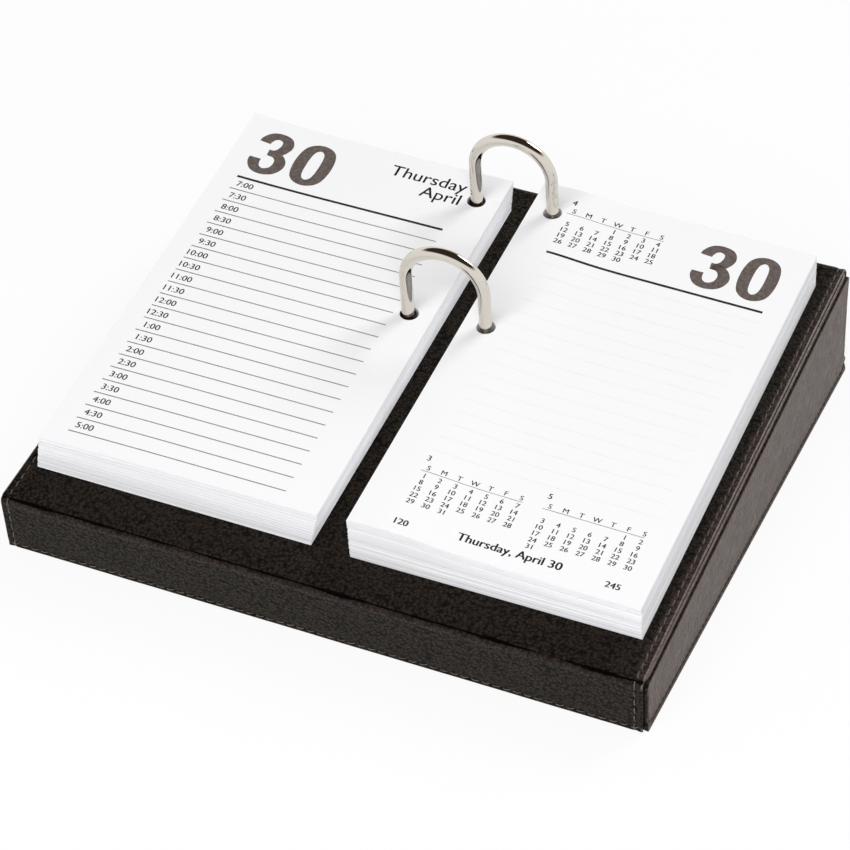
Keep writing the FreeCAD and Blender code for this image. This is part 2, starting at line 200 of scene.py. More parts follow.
@dataclass(frozen=True)
class Leather(Finish):
    """Bonded leather, embossed with a fine pebble grain and lightly waxed.

    The eye gets small irregular pebbles with soft creases between them, faint wrinkles, and a low
    satin shine that only comes up at a grazing angle.
    """

    dark: str = "#0c0a08"
    pale: str = "#322b24"
    grain_mm: float = 0.95
    grain_warp_mm: float = 0.7
    fine_mm: float = 0.42
    wrinkle_mm: float = 7.0
    grain_depth_mm: float = 0.3
    wrinkle_depth_mm: float = 0.5
    smoothest: float = 0.26
    roughest: float = 0.4
    specular: float = 0.06

    def shade(self, tree: NodeTree) -> Node:
        """Pebbles from a warped cell pattern, wrinkles from noise, both as bump.

        Args:
            tree: the material's empty tree.

        Returns:
            The surface shader.
        """
        add = partial(add_node, tree)
        place = add("ShaderNodeTexCoord").outputs["Object"]
        wander = add("ShaderNodeTexNoise", {"Scale": per_metre(2.2), "Detail": 2.0}, {"Vector": place})
        warp = add(
            "ShaderNodeVectorMath", {"operation": "MULTIPLY_ADD", 1: (self.grain_warp_mm * MM,) * 3},
            {0: wander.outputs["Color"], 2: place})
        pebbles = add(
            "ShaderNodeTexVoronoi",
            {"feature": "SMOOTH_F1", "Scale": per_metre(self.grain_mm), "Smoothness": 0.35}, {"Vector": warp})
        fine = add(
            "ShaderNodeTexNoise",
            {"Scale": per_metre(self.fine_mm), "Detail": 3.0, "Roughness": 0.6}, {"Vector": place})
        wrinkles = add(
            "ShaderNodeTexNoise",
            {"Scale": per_metre(self.wrinkle_mm), "Detail": 4.0, "Roughness": 0.62, "Distortion": 0.6},
            {"Vector": place})
        grain = add("ShaderNodeMath", {"operation": "MULTIPLY_ADD", 1: 0.45}, {0: fine, 2: pebbles})
        tone = add("ShaderNodeMapRange", {"From Min": 0.35, "From Max": 0.95}, {"Value": grain})
        colour = add(
            "ShaderNodeMix", {"data_type": "RGBA", 6: linear(self.pale), 7: linear(self.dark)}, {0: tone})
        rough = add(
            "ShaderNodeMapRange",
            {"From Min": 0.3, "From Max": 0.7, "To Min": self.smoothest, "To Max": self.roughest},
            {"Value": wrinkles})
        folds = add(
            "ShaderNodeBump", {"Strength": 0.5, "Distance": self.wrinkle_depth_mm * MM}, {"Height": wrinkles})
        relief = add(
            "ShaderNodeBump", {"invert": True, "Strength": 0.75, "Distance": self.grain_depth_mm * MM},
            {"Height": grain, "Normal": folds})
        return add(
            "ShaderNodeBsdfPrincipled", {"Specular IOR Level": self.specular},
            {"Base Color": colour.outputs[2], "Roughness": rough, "Normal": relief})


@dataclass(frozen=True)
class Mottled(Finish):
    """A matt or satin material whose colour drifts between two tones and whose surface is fibrous.

    It serves sewing thread, ink, felt, foam and fibreboard. The eye gets a soft, uneven tone and a
    faint tooth instead of a flat colour.
    """

    dark: str
    pale: str
    spot_mm: float = 1.0
    tooth_mm: float = 0.3
    tooth_depth_mm: float = 0.05
    roughness: float = 0.9
    specular: float = 0.2
    stretch: tuple[float, float, float] = (1.0, 1.0, 1.0)

    def shade(self, tree: NodeTree) -> Node:
        """Two noises: a coarse one for the tone and a fine one for the tooth.

        Args:
            tree: the material's empty tree.

        Returns:
            The surface shader.
        """
        add = partial(add_node, tree)
        place = add("ShaderNodeTexCoord").outputs["Object"]
        laid = add("ShaderNodeMapping", {"Scale": self.stretch}, {"Vector": place})
        spots, tooth = (
            add("ShaderNodeTexNoise", {"Scale": per_metre(size), "Detail": detail}, {"Vector": laid})
            for size, detail in ((self.spot_mm, 3.0), (self.tooth_mm, 2.0)))
        tone = add("ShaderNodeMapRange", {"From Min": 0.35, "From Max": 0.65}, {"Value": spots})
        colour = add(
            "ShaderNodeMix", {"data_type": "RGBA", 6: linear(self.dark), 7: linear(self.pale)}, {0: tone})
        relief = add(
            "ShaderNodeBump", {"Strength": 0.5, "Distance": self.tooth_depth_mm * MM}, {"Height": tooth})
        return add(
            "ShaderNodeBsdfPrincipled", {"Roughness": self.roughness, "Specular IOR Level": self.specular},
            {"Base Color": colour.outputs[2], "Normal": relief})


@dataclass(frozen=True)
class Paper(Finish):
    """Uncoated white writing paper, guillotined into small sheets.

    The eye gets a matt near-white with a faint fibre tooth; in the piles each sheet's edge is a
    little lighter or darker than its neighbours'.
    """

    white: str = "#f6f6f7"
    edge_shade: str = "#e2e2e6"
    fibre_mm: float = 0.5
    fibre_depth_mm: float = 0.02

    def shade(self, tree: NodeTree) -> Node:
        """White, shaded by the sheet's own attribute, with a fibre bump.

        Args:
            tree: the material's empty tree.

        Returns:
            The surface shader.
        """
        add = partial(add_node, tree)
        place = add("ShaderNodeTexCoord").outputs["Object"]
        own = add("ShaderNodeAttribute", {"attribute_name": "sheet_shade"}).outputs["Fac"]
        fibre = add(
            "ShaderNodeTexNoise", {"Scale": per_metre(self.fibre_mm), "Detail": 3.0}, {"Vector": place})
        colour = add(
            "ShaderNodeMix",
            {"data_type": "RGBA", 6: linear(self.white), 7: linear(self.edge_shade)}, {0: own})
        relief = add(
            "ShaderNodeBump", {"Strength": 0.3, "Distance": self.fibre_depth_mm * MM}, {"Height": fibre})
        return add(
            "ShaderNodeBsdfPrincipled", {"Roughness": 0.85, "Specular IOR Level": 0.15},
            {"Base Color": colour.outputs[2], "Normal": relief})


@dataclass(frozen=True)
class Metal(Finish):
    """Plated steel, bright or dull.

    The eye gets mirror reflections that wander a little, because the wire was bent and then
    plated, and on dull zinc only a soft sheen.
    """

    colour: str = "#d8d2c8"
    roughness: float = 0.08
    ripple_mm: float = 6.0
    ripple_depth_mm: float = 0.05

    def shade(self, tree: NodeTree) -> Node:
        """Metallic shader over a long, shallow ripple.

        Args:
            tree: the material's empty tree.

        Returns:
            The surface shader.
        """
        add = partial(add_node, tree)
        place = add("ShaderNodeTexCoord").outputs["Object"]
        ripple = add(
            "ShaderNodeTexNoise", {"Scale": per_metre(self.ripple_mm), "Detail": 1.0}, {"Vector": place})
        relief = add(
            "ShaderNodeBump", {"Strength": 0.35, "Distance": self.ripple_depth_mm * MM}, {"Height": ripple})
        return add(
            "ShaderNodeBsdfPrincipled",
            {"Base Color": linear(self.colour), "Metallic": 1.0, "Roughness": self.roughness},
            {"Normal": relief})


@dataclass(frozen=True)
class StudioWhite(Finish):
    """White sweep that the calendar stands on: it glows for the eye and in reflections, and still
    takes the calendar's shadow."""

    glow: float = 0.88
    white: str = "#fafafa"

    def shade(self, tree: NodeTree) -> Node:
        """Mix of a white diffuse and a white glow, by what kind of ray meets it.

        Args:
            tree: the material's empty tree.

        Returns:
            The surface shader.
        """
        add = partial(add_node, tree)
        rays = add("ShaderNodeLightPath").outputs
        seen = rays["Is Camera Ray"]
        for ray in ("Is Glossy Ray", "Is Transmission Ray"):
            seen = add("ShaderNodeMath", {"operation": "MAXIMUM"}, {0: seen, 1: rays[ray]})
        share = add("ShaderNodeMath", {"operation": "MULTIPLY", 1: self.glow}, {0: seen})
        matt = add("ShaderNodeBsdfDiffuse", {"Color": linear(self.white)})
        light = add("ShaderNodeEmission", {"Color": (1, 1, 1, 1), "Strength": 1.0})
        return add("ShaderNodeMixShader", links={0: share, 1: matt, 2: light})


TOP_LEATHER = Leather("bonded_leather_top")
# painted light: a paler copy of the same leather for faces turned to the side, standing in for the light that
# they catch
LIT_SIDE_LEATHER = Leather("bonded_leather_side", "#453730", "#5a493f", smoothest=0.3, roughest=0.44,
                       grain_depth_mm=0.2, wrinkle_mm=4.0, specular=0.1)
# painted highlight: lighter, glossier leather laid only on edge faces that face up and outwards, where the
# lamps' reflection falls
EDGE_HIGHLIGHT_PAINT = Leather("burnished_edge", "#54463f", "#75635a", smoothest=0.25, roughest=0.4,
                    grain_depth_mm=0.05, wrinkle_depth_mm=0.2, specular=0.35)
# painted sheen: lighter leather for the upward faces of the right rim, outside its seam, where the light from
# the right falls
RIM_SHEEN_PAINT = Leather("edge_leather", "#221b19", "#493d39", specular=0.1)
# painted highlight: lighter leather along the lower part of the front crest's curve
CREST_HIGHLIGHT_PAINT = Leather("worn_crest", "#191412", "#372e2b", specular=0.08)
# painted shade: near-black leather with no shine for the crease behind the front crest
CREASE_SHADE_PAINT = Leather("creased_leather", "#070505", "#0e0b0a", grain_depth_mm=0.2, specular=0.0)
THREAD = Mottled("polyester_thread", "#4a433d", "#766c61", spot_mm=0.8, tooth_mm=0.25,
                 tooth_depth_mm=0.06, roughness=0.5, specular=0.4)
DARK_THREAD = replace(THREAD, name="dark_polyester_thread", dark="#1c1815", pale="#3a332d")
PAPER = Paper("uncoated_paper")
BLACK_INK = Mottled("black_ink", "#1f1c1b", "#38322f", spot_mm=0.6, specular=0.25)
NUMERAL_INK = Mottled("half_tone_ink", "#5a504c", "#6e6460", spot_mm=1.2)
RULE_INK = Mottled("grey_rule_ink", "#6c6a6a", "#828080", spot_mm=2.5, specular=0.15)
GHOST_INK = Mottled("show_through", "#eeeef0", "#f3f3f4", spot_mm=3.0, specular=0.15)
NICKEL = Metal("bright_nickel_plate")
# painted shade: the posts are coloured brown-black for the shade inside the page holes
POST_NICKEL_SHADED = Metal("dull_nickel_plate", "#3c3129", roughness=0.3)
ZINC = Metal("zinc_plate", "#a9abad", roughness=0.42, ripple_mm=1.5)
FIBREBOARD = Mottled("fibreboard", "#7d5f43", "#9a7a58", spot_mm=1.5, tooth_mm=0.6,
                     tooth_depth_mm=0.15, stretch=(1.0, 1.0, 5.0))
STAINED_BOARD = replace(FIBREBOARD, name="stained_fibreboard", dark="#1d1916", pale="#2a2420",
                        tooth_depth_mm=0.1, roughness=0.6, specular=0.3)
FELT = Mottled("pressed_felt", "#121212", "#242424", spot_mm=2.0, tooth_mm=0.5,
               tooth_depth_mm=0.3, roughness=1.0, specular=0.05)
FOAM = Mottled("polyester_padding", "#c4beb4", "#dcd7cd", spot_mm=1.5, tooth_mm=0.8,
               tooth_depth_mm=0.3, roughness=1.0, specular=0.05)
FLOOR_WHITE = StudioWhite("studio_white")


# ---- the frame and plain mesh tools


@dataclass(frozen=True)
class Span:
    """Lowest and highest deck coordinates of a node, in millimetres."""

    low: Array
    high: Array

    @property
    def middle(self) -> Array:
        """Centre of the span."""
        return (self.low + self.high) / 2

    @property
    def size(self) -> Array:
        """Its three sizes."""
        return self.high - self.low


@dataclass(frozen=True)
class Deck:
    """The sloping top's own axes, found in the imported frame."""

    origin: Vector
    along: Vector
    normal: Vector
    nodes: dict[str, Object]

    @classmethod
    def from_frame(cls, frame: dict[str, Any]) -> "Deck":
        """Find the axes from an arch's slide and the wrap's leather.


        Returns:
            The deck, with its origin at the middle of the leather's upper front edge.
        """
        lift = next(j for j in frame["joints"] if j["name"] == "front_arch_lift")
        normal = Vector(lift["axis"]).normalized()
        along = Vector((0.0, normal.z, -normal.y))
        corners = [v.co for v in frame["nodes"]["wrap_cover"].data.vertices]
        first = min(c.dot(along) for c in corners)
        top = max(c.dot(normal) for c in corners)
        middle = (min(c.x for c in corners) + max(c.x for c in corners)) / 2
        origin = Vector((middle, 0.0, 0.0)) + along * first + normal * top
        return cls(origin, along, normal, frame["nodes"])

    @property
    def matrix(self) -> Matrix:
        """Deck millimetres to metres of the row frame."""
        across = Vector((1.0, 0.0, 0.0))
        columns = [c * MM for c in (across, self.along, self.normal)]
        rows = [[c[i] for c in columns] + [self.origin[i]] for i in range(3)]
        return Matrix([*rows, [0.0, 0.0, 0.0, 1.0]])

    def points(self, node: str) -> Array:
        """Deck coordinates of a CAD node's corners, one row each."""
        back = self.matrix.inverted()
        return np.array([back @ v.co for v in self.nodes[node].data.vertices])

    def span(self, node: str) -> Span:
        """Deck coordinates that a CAD node fills."""
        points = self.points(node)
        return Span(points.min(0), points.max(0))

    def flat(self, point: Vector) -> tuple[float, float, float]:
        """Deck coordinates (x, u, n) of a point of the frame."""
        away = (point - self.origin) / MM
        return away.x, away.dot(self.along), away.dot(self.normal)

    def top_at(self, node: str, x: float) -> float:
        """Greatest n of a CAD node's corners within half a millimetre of an x place."""
        points = self.points(node)
        return float(points[np.abs(points[:, 0] - x) < 0.5, 2].max())

    def level(self, u: Array | float, height: float) -> Array | float:
        """The n, at u, of the level plane that lies height millimetres above the desk."""
        return (height - self.origin.z / MM - u * self.along.z) / self.normal.z


def link_object(name: str, data: Any) -> Object:
    """Make an object for a mesh, a light, a camera or a line of type, and link it to the scene."""
    made = bpy.data.objects.new(name, data)
    bpy.context.scene.collection.objects.link(made)
    return made


def evaluated_mesh(piece: Object) -> Mesh:
    """Plain mesh of a piece, with its modifiers applied."""
    return bpy.data.meshes.new_from_object(piece.evaluated_get(bpy.context.evaluated_depsgraph_get()))


def seat_piece(deck: Deck, name: str, points: Array, faces: Faces, finish: Finish,
               smooth: bool = True) -> Object:
    """Make an object from deck coordinates, with its place in its mesh.

    Args:
        deck: the deck that the points are measured on.
        name: the piece's name.
        points: x, u, n rows in millimetres.
        faces: vertex numbers of each face, anticlockwise from outside.
        finish: what the piece wears.
        smooth: whether the faces are shaded smooth.

    Returns:
        The object, linked to the scene.
    """
    mesh = bpy.data.meshes.new(name)
    mesh.from_pydata([tuple(p) for p in np.asarray(points, float)], [], faces)
    mesh.transform(deck.matrix)
    mesh.polygons.foreach_set("use_smooth", [smooth] * len(mesh.polygons))
    mesh.materials.append(finish.material())
    mesh.update()
    return link_object(name, mesh)


def grid_faces(rows: int, columns: int, close_columns: bool = False) -> Faces:
    """Quads of a grid whose vertices are numbered row by row.

    Args:
        rows: vertices along the first direction.
        columns: vertices along the second direction.
        close_columns: whether the last column joins the first.

    Returns:
        The faces.
    """
    last = columns if close_columns else columns - 1
    return [
        (i * columns + j, i * columns + (j + 1) % columns, (i + 1) * columns + (j + 1) % columns,
         (i + 1) * columns + j)
        for i in range(rows - 1)
        for j in range(last)
    ]


def rounded_path(corners: Sequence[tuple[float, float]], radii: Sequence[float], step: float,
                 arc_parts: int) -> tuple[Array, Array]:
    """Walk a polyline whose inner corners are rounded.

    Args:
        corners: the polyline's points, in millimetres.
        radii: one radius for each inner corner.
        step: longest step on the straight runs.
        arc_parts: steps in each rounded corner.

    Returns:
        The points, and at each the unit normal on the left of the walk.
    """
    points: list[Array] = []
    normals: list[Array] = []
    at = [np.array(c, float) for c in corners]
    start = at[0]
    for i in range(1, len(at)):
        here = at[i]
        toward = (here - at[i - 1]) / np.linalg.norm(here - at[i - 1])
        side = np.array([-toward[1], toward[0]])
        cut = 0.0
        if i < len(at) - 1:
            onward = (at[i + 1] - here) / np.linalg.norm(at[i + 1] - here)
            turn = math.acos(max(-1.0, min(1.0, float(toward @ onward))))
            cut = radii[i - 1] * math.tan(turn / 2)
        stop = here - toward * cut
        parts = max(1, math.ceil(np.linalg.norm(stop - start) / step))
        for k in range(parts):
            points.append(start + (stop - start) * k / parts)
            normals.append(side)
        if i < len(at) - 1:
            hand = math.copysign(1.0, toward[0] * onward[1] - toward[1] * onward[0])
            centre = stop + side * hand * radii[i - 1]
            for k in range(arc_parts):
                angle = hand * turn * k / arc_parts
                c, s = math.cos(angle), math.sin(angle)
                normal = np.array([c * side[0] - s * side[1], s * side[0] + c * side[1]])
                points.append(centre - hand * normal * radii[i - 1])
                normals.append(normal)
            start = here + onward * cut
        else:
            points.append(stop)
            normals.append(side)
    return np.array(points), np.array(normals)


def drift(x: float, y: float, size: float, seed: float) -> float:
    """Smooth random value from -1 to 1 that changes over about size millimetres."""
    return noise.noise(Vector((x / size, y / size, seed)))


def bell(distance: Array | float, width: float) -> Array | float:
    """Bell curve of height 1."""
    return np.exp(-np.square(distance / width))


def rounding(distance: Array, radius: Array | float) -> Array:
    """How far a quarter-round edge falls away, by distance from the edge."""
    short = np.clip(radius - distance, 0, radius)
    return radius - np.sqrt(radius**2 - short**2)


def distances_along(path: Array) -> Array:
    """Distance of each point of a path from its start, along the path."""
    return np.concatenate([[0.0], np.cumsum(np.linalg.norm(np.diff(path, axis=0), axis=1))])


# ---- node groups


@dataclass(frozen=True)
class NodeGroup:
    """Makes a Geometry Nodes tree once and turns its result into a plain mesh.

    Its inputs are Geometry, the sizes (millimetres and radians), the counts and Finish.
    """

    name: str
    sizes: tuple[str, ...] = ()
    counts: tuple[str, ...] = ("Seed",)

    def build(self, tree: NodeTree, given: NodeOutputs) -> Node:
        """Add the tree's own nodes, and return the one that holds the realized geometry."""
        raise NotImplementedError

    def tree(self) -> NodeTree:
        """Make the tree, or return it if it is already there.

        Returns:
            The tree, which ends in Realize Instances and Set Material.
        """
        made = bpy.data.node_groups.get(self.name)
        if made is not None:
            return made
        made = bpy.data.node_groups.new(self.name, "GeometryNodeTree")
        kinds = {"Geometry": "NodeSocketGeometry", **dict.fromkeys(self.sizes, "NodeSocketFloat"),
                 **dict.fromkeys(self.counts, "NodeSocketInt"), "Finish": "NodeSocketMaterial"}
        for label, kind in kinds.items():
            made.interface.new_socket(label, in_out="INPUT", socket_type=kind)
        made.interface.new_socket("Geometry", in_out="OUTPUT", socket_type="NodeSocketGeometry")
        given = add_node(made, "NodeGroupInput").outputs
        placed = self.build(made, given)
        dressed = add_node(
            made, "GeometryNodeSetMaterial", links={"Geometry": placed, "Material": given["Finish"]})
        add_node(made, "NodeGroupOutput", links={"Geometry": dressed})
        return made

    def grow(self, deck: Deck, name: str, points: Array, edges: Faces, faces: Faces,
             values: dict[str, Any], finish: Finish, vectors: dict[str, Array] | None = None,
             at: Sequence[float] = (0.0, 0.0, 0.0)) -> Object:
        """Run the tree on a mesh in deck millimetres and keep the result as a plain mesh.

        Args:
            deck: the deck that the points are measured on.
            name: the piece's name.
            points: the input mesh's points.
            edges: its loose edges, where it is a path.
            faces: its faces, where it is a surface.
            values: the tree's inputs by name.
            finish: what the piece wears.
            vectors: vector attributes on the points, by name.
            at: deck place of the input mesh's own origin.

        Returns:
            The finished object, in place, without a modifier.
        """
        mesh = bpy.data.meshes.new(name + "_seed")
        mesh.from_pydata([tuple(p) for p in points], edges, faces)
        for label, rows in (vectors or {}).items():
            held = mesh.attributes.new(label, "FLOAT_VECTOR", "POINT")
            held.data.foreach_set("vector", np.asarray(rows, np.float32).ravel())
        source = link_object(name + "_seed", mesh)
        tree = self.tree()
        modifier = source.modifiers.new(self.name, "NODES")
        modifier.node_group = tree
        values = {**values, "Finish": finish.material()}
        for item in tree.interface.items_tree:
            if item.in_out == "INPUT" and item.name in values:
                modifier[item.identifier] = values[item.name]
        bpy.context.view_layer.update()
        result = evaluated_mesh(source)
        bpy.data.objects.remove(source)
        bpy.data.meshes.remove(mesh)
        result.name = name
        result.transform(deck.matrix @ Matrix.Translation(at))
        return link_object(name, result)


@dataclass(frozen=True)
class StitchRow(NodeGroup):
    """Lock stitches at even spacing along a path; each one dives into the leather at both ends."""

    name: str = "stitch_row"
    sizes: tuple[str, ...] = ("Pitch", "Stitch Length", "Thread Radius", "Rise", "Slant")

    def build(self, tree: NodeTree, given: NodeOutputs) -> Node:
        """Resample the path, sweep one bent stitch and set it on every point.

        Args:
            tree: the tree that gets the nodes.
            given: the tree's inputs.

        Returns:
            The realized stitches.
        """
        add = partial(add_node, tree)
        curve = add("GeometryNodeMeshToCurve", links={"Mesh": given["Geometry"]})
        even = add(
            "GeometryNodeResampleCurve", {"mode": "LENGTH"}, {"Curve": curve, "Length": given["Pitch"]})
        tangent = add("GeometryNodeInputTangent")
        up = add("GeometryNodeInputNamedAttribute", {"data_type": "FLOAT_VECTOR", "Name": "up"})
        along = add("FunctionNodeAlignRotationToVector", {"axis": "X"}, {"Vector": tangent})
        upright = add(
            "FunctionNodeAlignRotationToVector", {"axis": "Z", "pivot_axis": "X"},
            {"Rotation": along, "Vector": up})
        wobble = add(
            "FunctionNodeRandomValue",
            {"data_type": "FLOAT_VECTOR", 0: (-0.03, -0.03, -0.07), 1: (0.03, 0.03, 0.07)},
            {"Seed": given["Seed"]})
        turned = add(
            "FunctionNodeRotateRotation", {"rotation_space": "LOCAL"}, {"Rotation": upright, 1: wobble})
        half, back, low, other = (
            add("ShaderNodeMath", {"operation": "MULTIPLY", 1: share}, {0: given[size]})
            for size, share in (("Stitch Length", 0.5), ("Stitch Length", -0.5), ("Thread Radius", -1.1),
                                ("Slant", -1.0)))
        start, middle, end = (
            add("ShaderNodeCombineXYZ", links=place)
            for place in (
                {0: back, 1: other, 2: low}, {2: given["Rise"]}, {0: half, 1: given["Slant"], 2: low}))
        bend = add(
            "GeometryNodeCurveQuadraticBezier", {"Resolution": 7},
            {"Start": start, "Middle": middle, "End": end})
        ring = add("GeometryNodeCurvePrimitiveCircle", {"Resolution": 6}, {"Radius": given["Thread Radius"]})
        thread = add("GeometryNodeCurveToMesh", {"Fill Caps": True}, {"Curve": bend, "Profile Curve": ring})
        placed = add(
            "GeometryNodeInstanceOnPoints", links={"Points": even, "Instance": thread, "Rotation": turned})
        plain = add("GeometryNodeRealizeInstances", links={"Geometry": placed})
        return add("GeometryNodeSetShadeSmooth", links={"Geometry": plain})


@dataclass(frozen=True)
class SheetPile(NodeGroup):
    """Punched sheets piled on each other, each a little shifted and turned, arched near the holes."""

    name: str = "sheet_pile"
    sizes: tuple[str, ...] = (
        "Height", "Fall", "Bottom Turn", "Top Turn", "Bottom Slide", "Top Slide", "Scatter", "Wander",
        "Outward", "Hole Inset", "Rise", "Pitch", "Bulge", "Bulge Place", "Bulge Width", "Rear Curl",
        "Front Curl", "Curl Start", "Curl Reach", "Rear Edge", "Length", "Width")
    counts: tuple[str, ...] = ("Count", "Seed", "Turn Seed", "Shade Seed")

    def build(self, tree: NodeTree, given: NodeOutputs) -> Node:
        """Stack the sheet on a line of points, then lift the upper sheets into their arch.

        Args:
            tree: the tree that gets the nodes.
            given: the tree's inputs.

        Returns:
            The realized sheets.
        """
        add = partial(add_node, tree)
        spot = add("ShaderNodeSeparateXYZ", links={0: add("GeometryNodeInputPosition")}).outputs
        unrest, shade = (
            add("FunctionNodeRandomValue", {"data_type": "FLOAT", 2: low, 3: high},
                {"Seed": given[seed]}).outputs[1]
            for low, high, seed in ((-0.0018, 0.0018, "Turn Seed"), (0.0, 1.0, "Shade Seed")))
        known = {socket.name: socket for socket in given} | {
            "index": add("GeometryNodeInputIndex"), "across": spot["X"], "along": spot["Y"],
            "level": add("GeometryNodeInputNamedAttribute", {"data_type": "FLOAT", "Name": "sheet_share"}),
            "unrest": unrest,
        }
        for result, operation, *terms in (
            # where each sheet lies in the pile
            ("last", "SUBTRACT", "Count", 1.0),
            ("share", "DIVIDE", "index", "last"),
            ("height", "MULTIPLY", "share", "Height"),
            ("walk", "MULTIPLY_ADD", "Seed", 3.7, "share"),
            ("below", "LESS_THAN", "share", 0.9999),
            ("slide_span", "SUBTRACT", "Top Slide", "Bottom Slide"),
            ("slide", "MULTIPLY_ADD", "share", "slide_span", "Bottom Slide"),
            ("turn_span", "SUBTRACT", "Top Turn", "Bottom Turn"),
            ("neat", "MULTIPLY_ADD", "share", "turn_span", "Bottom Turn"),
            ("turn", "MULTIPLY_ADD", "unrest", "below", "neat"),
            ("fallen", "MULTIPLY", "share", "Fall"),
            # bulge over the arches
            ("out", "MULTIPLY_ADD", "across", "Outward", "Hole Inset"),
            ("off", "SUBTRACT", "out", "Bulge Place"),
            ("offset", "DIVIDE", "off", "Bulge Width"),
            ("square", "MULTIPLY", "offset", "offset"),
            ("minus", "MULTIPLY", "square", -1.0),
            ("bell", "EXPONENT", "minus"),
            ("arch", "MULTIPLY", "Bulge", "bell"),
            # curl of the free edge, behind and in front
            ("beyond", "SUBTRACT", "out", "Curl Start"),
            ("past", "MAXIMUM", "beyond", 0.0),
            ("reach", "DIVIDE", "past", "Curl Reach"),
            ("lip", "POWER", "reach", 2.0),
            ("back", "SUBTRACT", "Rear Edge", "along"),
            ("forward", "DIVIDE", "back", "Length"),
            ("rest", "SUBTRACT", 1.0, "forward"),
            ("rear", "MAXIMUM", "rest", 0.0),
            ("behind", "POWER", "rear", 4.0),
            ("front", "MAXIMUM", "forward", 0.0),
            ("before", "POWER", "front", 4.0),
            ("front_lift", "MULTIPLY", "Front Curl", "before"),
            ("curl", "MULTIPLY_ADD", "Rear Curl", "behind", "front_lift"),
            ("bent", "MULTIPLY_ADD", "lip", "curl", "arch"),
            # tilt of the sheet
            ("half", "MULTIPLY", "Width", 0.5),
            ("aside", "SUBTRACT", "out", "half"),
            ("tilt", "DIVIDE", "aside", "half"),
            ("nod", "MULTIPLY_ADD", "forward", 2.0, -1.0),
            ("pitch", "MULTIPLY", "Pitch", "nod"),
            ("slant", "MULTIPLY_ADD", "Rise", "tilt", "pitch"),
            # the lower a sheet lies, the flatter it is
            ("weight", "POWER", "level", 2.0),
            ("weighted", "MULTIPLY", "weight", "bent"),
            ("lift", "MULTIPLY_ADD", "level", "slant", "weighted"),
        ):
            fixed = {k: term for k, term in enumerate(terms) if isinstance(term, float)}
            wired = {k: known[term] for k, term in enumerate(terms) if isinstance(term, str)}
            known[result] = add("ShaderNodeMath", {"operation": operation, **fixed}, wired)
        low, high = (
            add("ShaderNodeVectorMath", {"operation": "SCALE", 0: (sign, sign, 0.0)},
                {"Scale": given["Scatter"]})
            for sign in (-1.0, 1.0))
        loose = add(
            "FunctionNodeRandomValue", {"data_type": "FLOAT_VECTOR"},
            {0: low, 1: high, "Seed": given["Seed"]})
        walk = add(
            "ShaderNodeTexNoise",
            {"noise_dimensions": "1D", "Scale": 9.0, "Detail": 3.0, "Roughness": 0.7}, {"W": known["walk"]})
        place = add("ShaderNodeCombineXYZ", links={"X": known["slide"], "Z": known["height"]})
        centred = add(
            "ShaderNodeVectorMath", {"operation": "SUBTRACT", 1: (0.5, 0.5, 0.5)}, {0: walk.outputs["Color"]})
        groups = add("ShaderNodeVectorMath", {"operation": "SCALE"}, {0: centred, "Scale": given["Wander"]})
        flat = add("ShaderNodeVectorMath", {"operation": "MULTIPLY", 1: (1.0, 1.0, 0.0)}, {0: groups})
        shift = add("ShaderNodeVectorMath", {"operation": "ADD"}, {0: loose, 1: flat})
        shift = add("ShaderNodeVectorMath", {"operation": "SCALE"}, {0: shift, "Scale": known["below"]})
        place = add("ShaderNodeVectorMath", {"operation": "ADD"}, {0: place, 1: shift})
        points = add("GeometryNodePoints", links={"Count": given["Count"], "Position": place})
        turn = add("ShaderNodeCombineXYZ", links={"Y": known["fallen"], "Z": known["turn"]})
        spin = add("FunctionNodeEulerToRotation", links={"Euler": turn})
        marked = add(
            "GeometryNodeInstanceOnPoints",
            links={"Points": points, "Instance": given["Geometry"], "Rotation": spin})
        for label, value in (("sheet_shade", shade), ("sheet_share", known["share"])):
            marked = add(
                "GeometryNodeStoreNamedAttribute",
                {"data_type": "FLOAT", "domain": "INSTANCE", "Name": label},
                {"Geometry": marked, "Value": value})
        plain = add("GeometryNodeRealizeInstances", links={"Geometry": marked})
        raised = add("ShaderNodeCombineXYZ", links={"Z": known["lift"]})
        return add("GeometryNodeSetPosition", links={"Geometry": plain, "Offset": raised})


@dataclass(frozen=True)
class BentWire(NodeGroup):
    """Round wire swept along a path, with closed ends."""

    name: str = "bent_wire"
    sizes: tuple[str, ...] = ("Wire Radius",)
    counts: tuple[str, ...] = ("Sides",)

    def build(self, tree: NodeTree, given: NodeOutputs) -> Node:
        """Sweep a ring along the path.

        Args:
            tree: the tree that gets the nodes.
            given: the tree's inputs.

        Returns:
            The wire's surface.
        """
        add = partial(add_node, tree)
        curve = add("GeometryNodeMeshToCurve", links={"Mesh": given["Geometry"]})
        ring = add(
            "GeometryNodeCurvePrimitiveCircle",
            links={"Resolution": given["Sides"], "Radius": given["Wire Radius"]})
        swept = add("GeometryNodeCurveToMesh", {"Fill Caps": True}, {"Curve": curve, "Profile Curve": ring})
        plain = add("GeometryNodeRealizeInstances", links={"Geometry": swept})
        return add("GeometryNodeSetShadeSmooth", links={"Geometry": plain})


# ---- leather


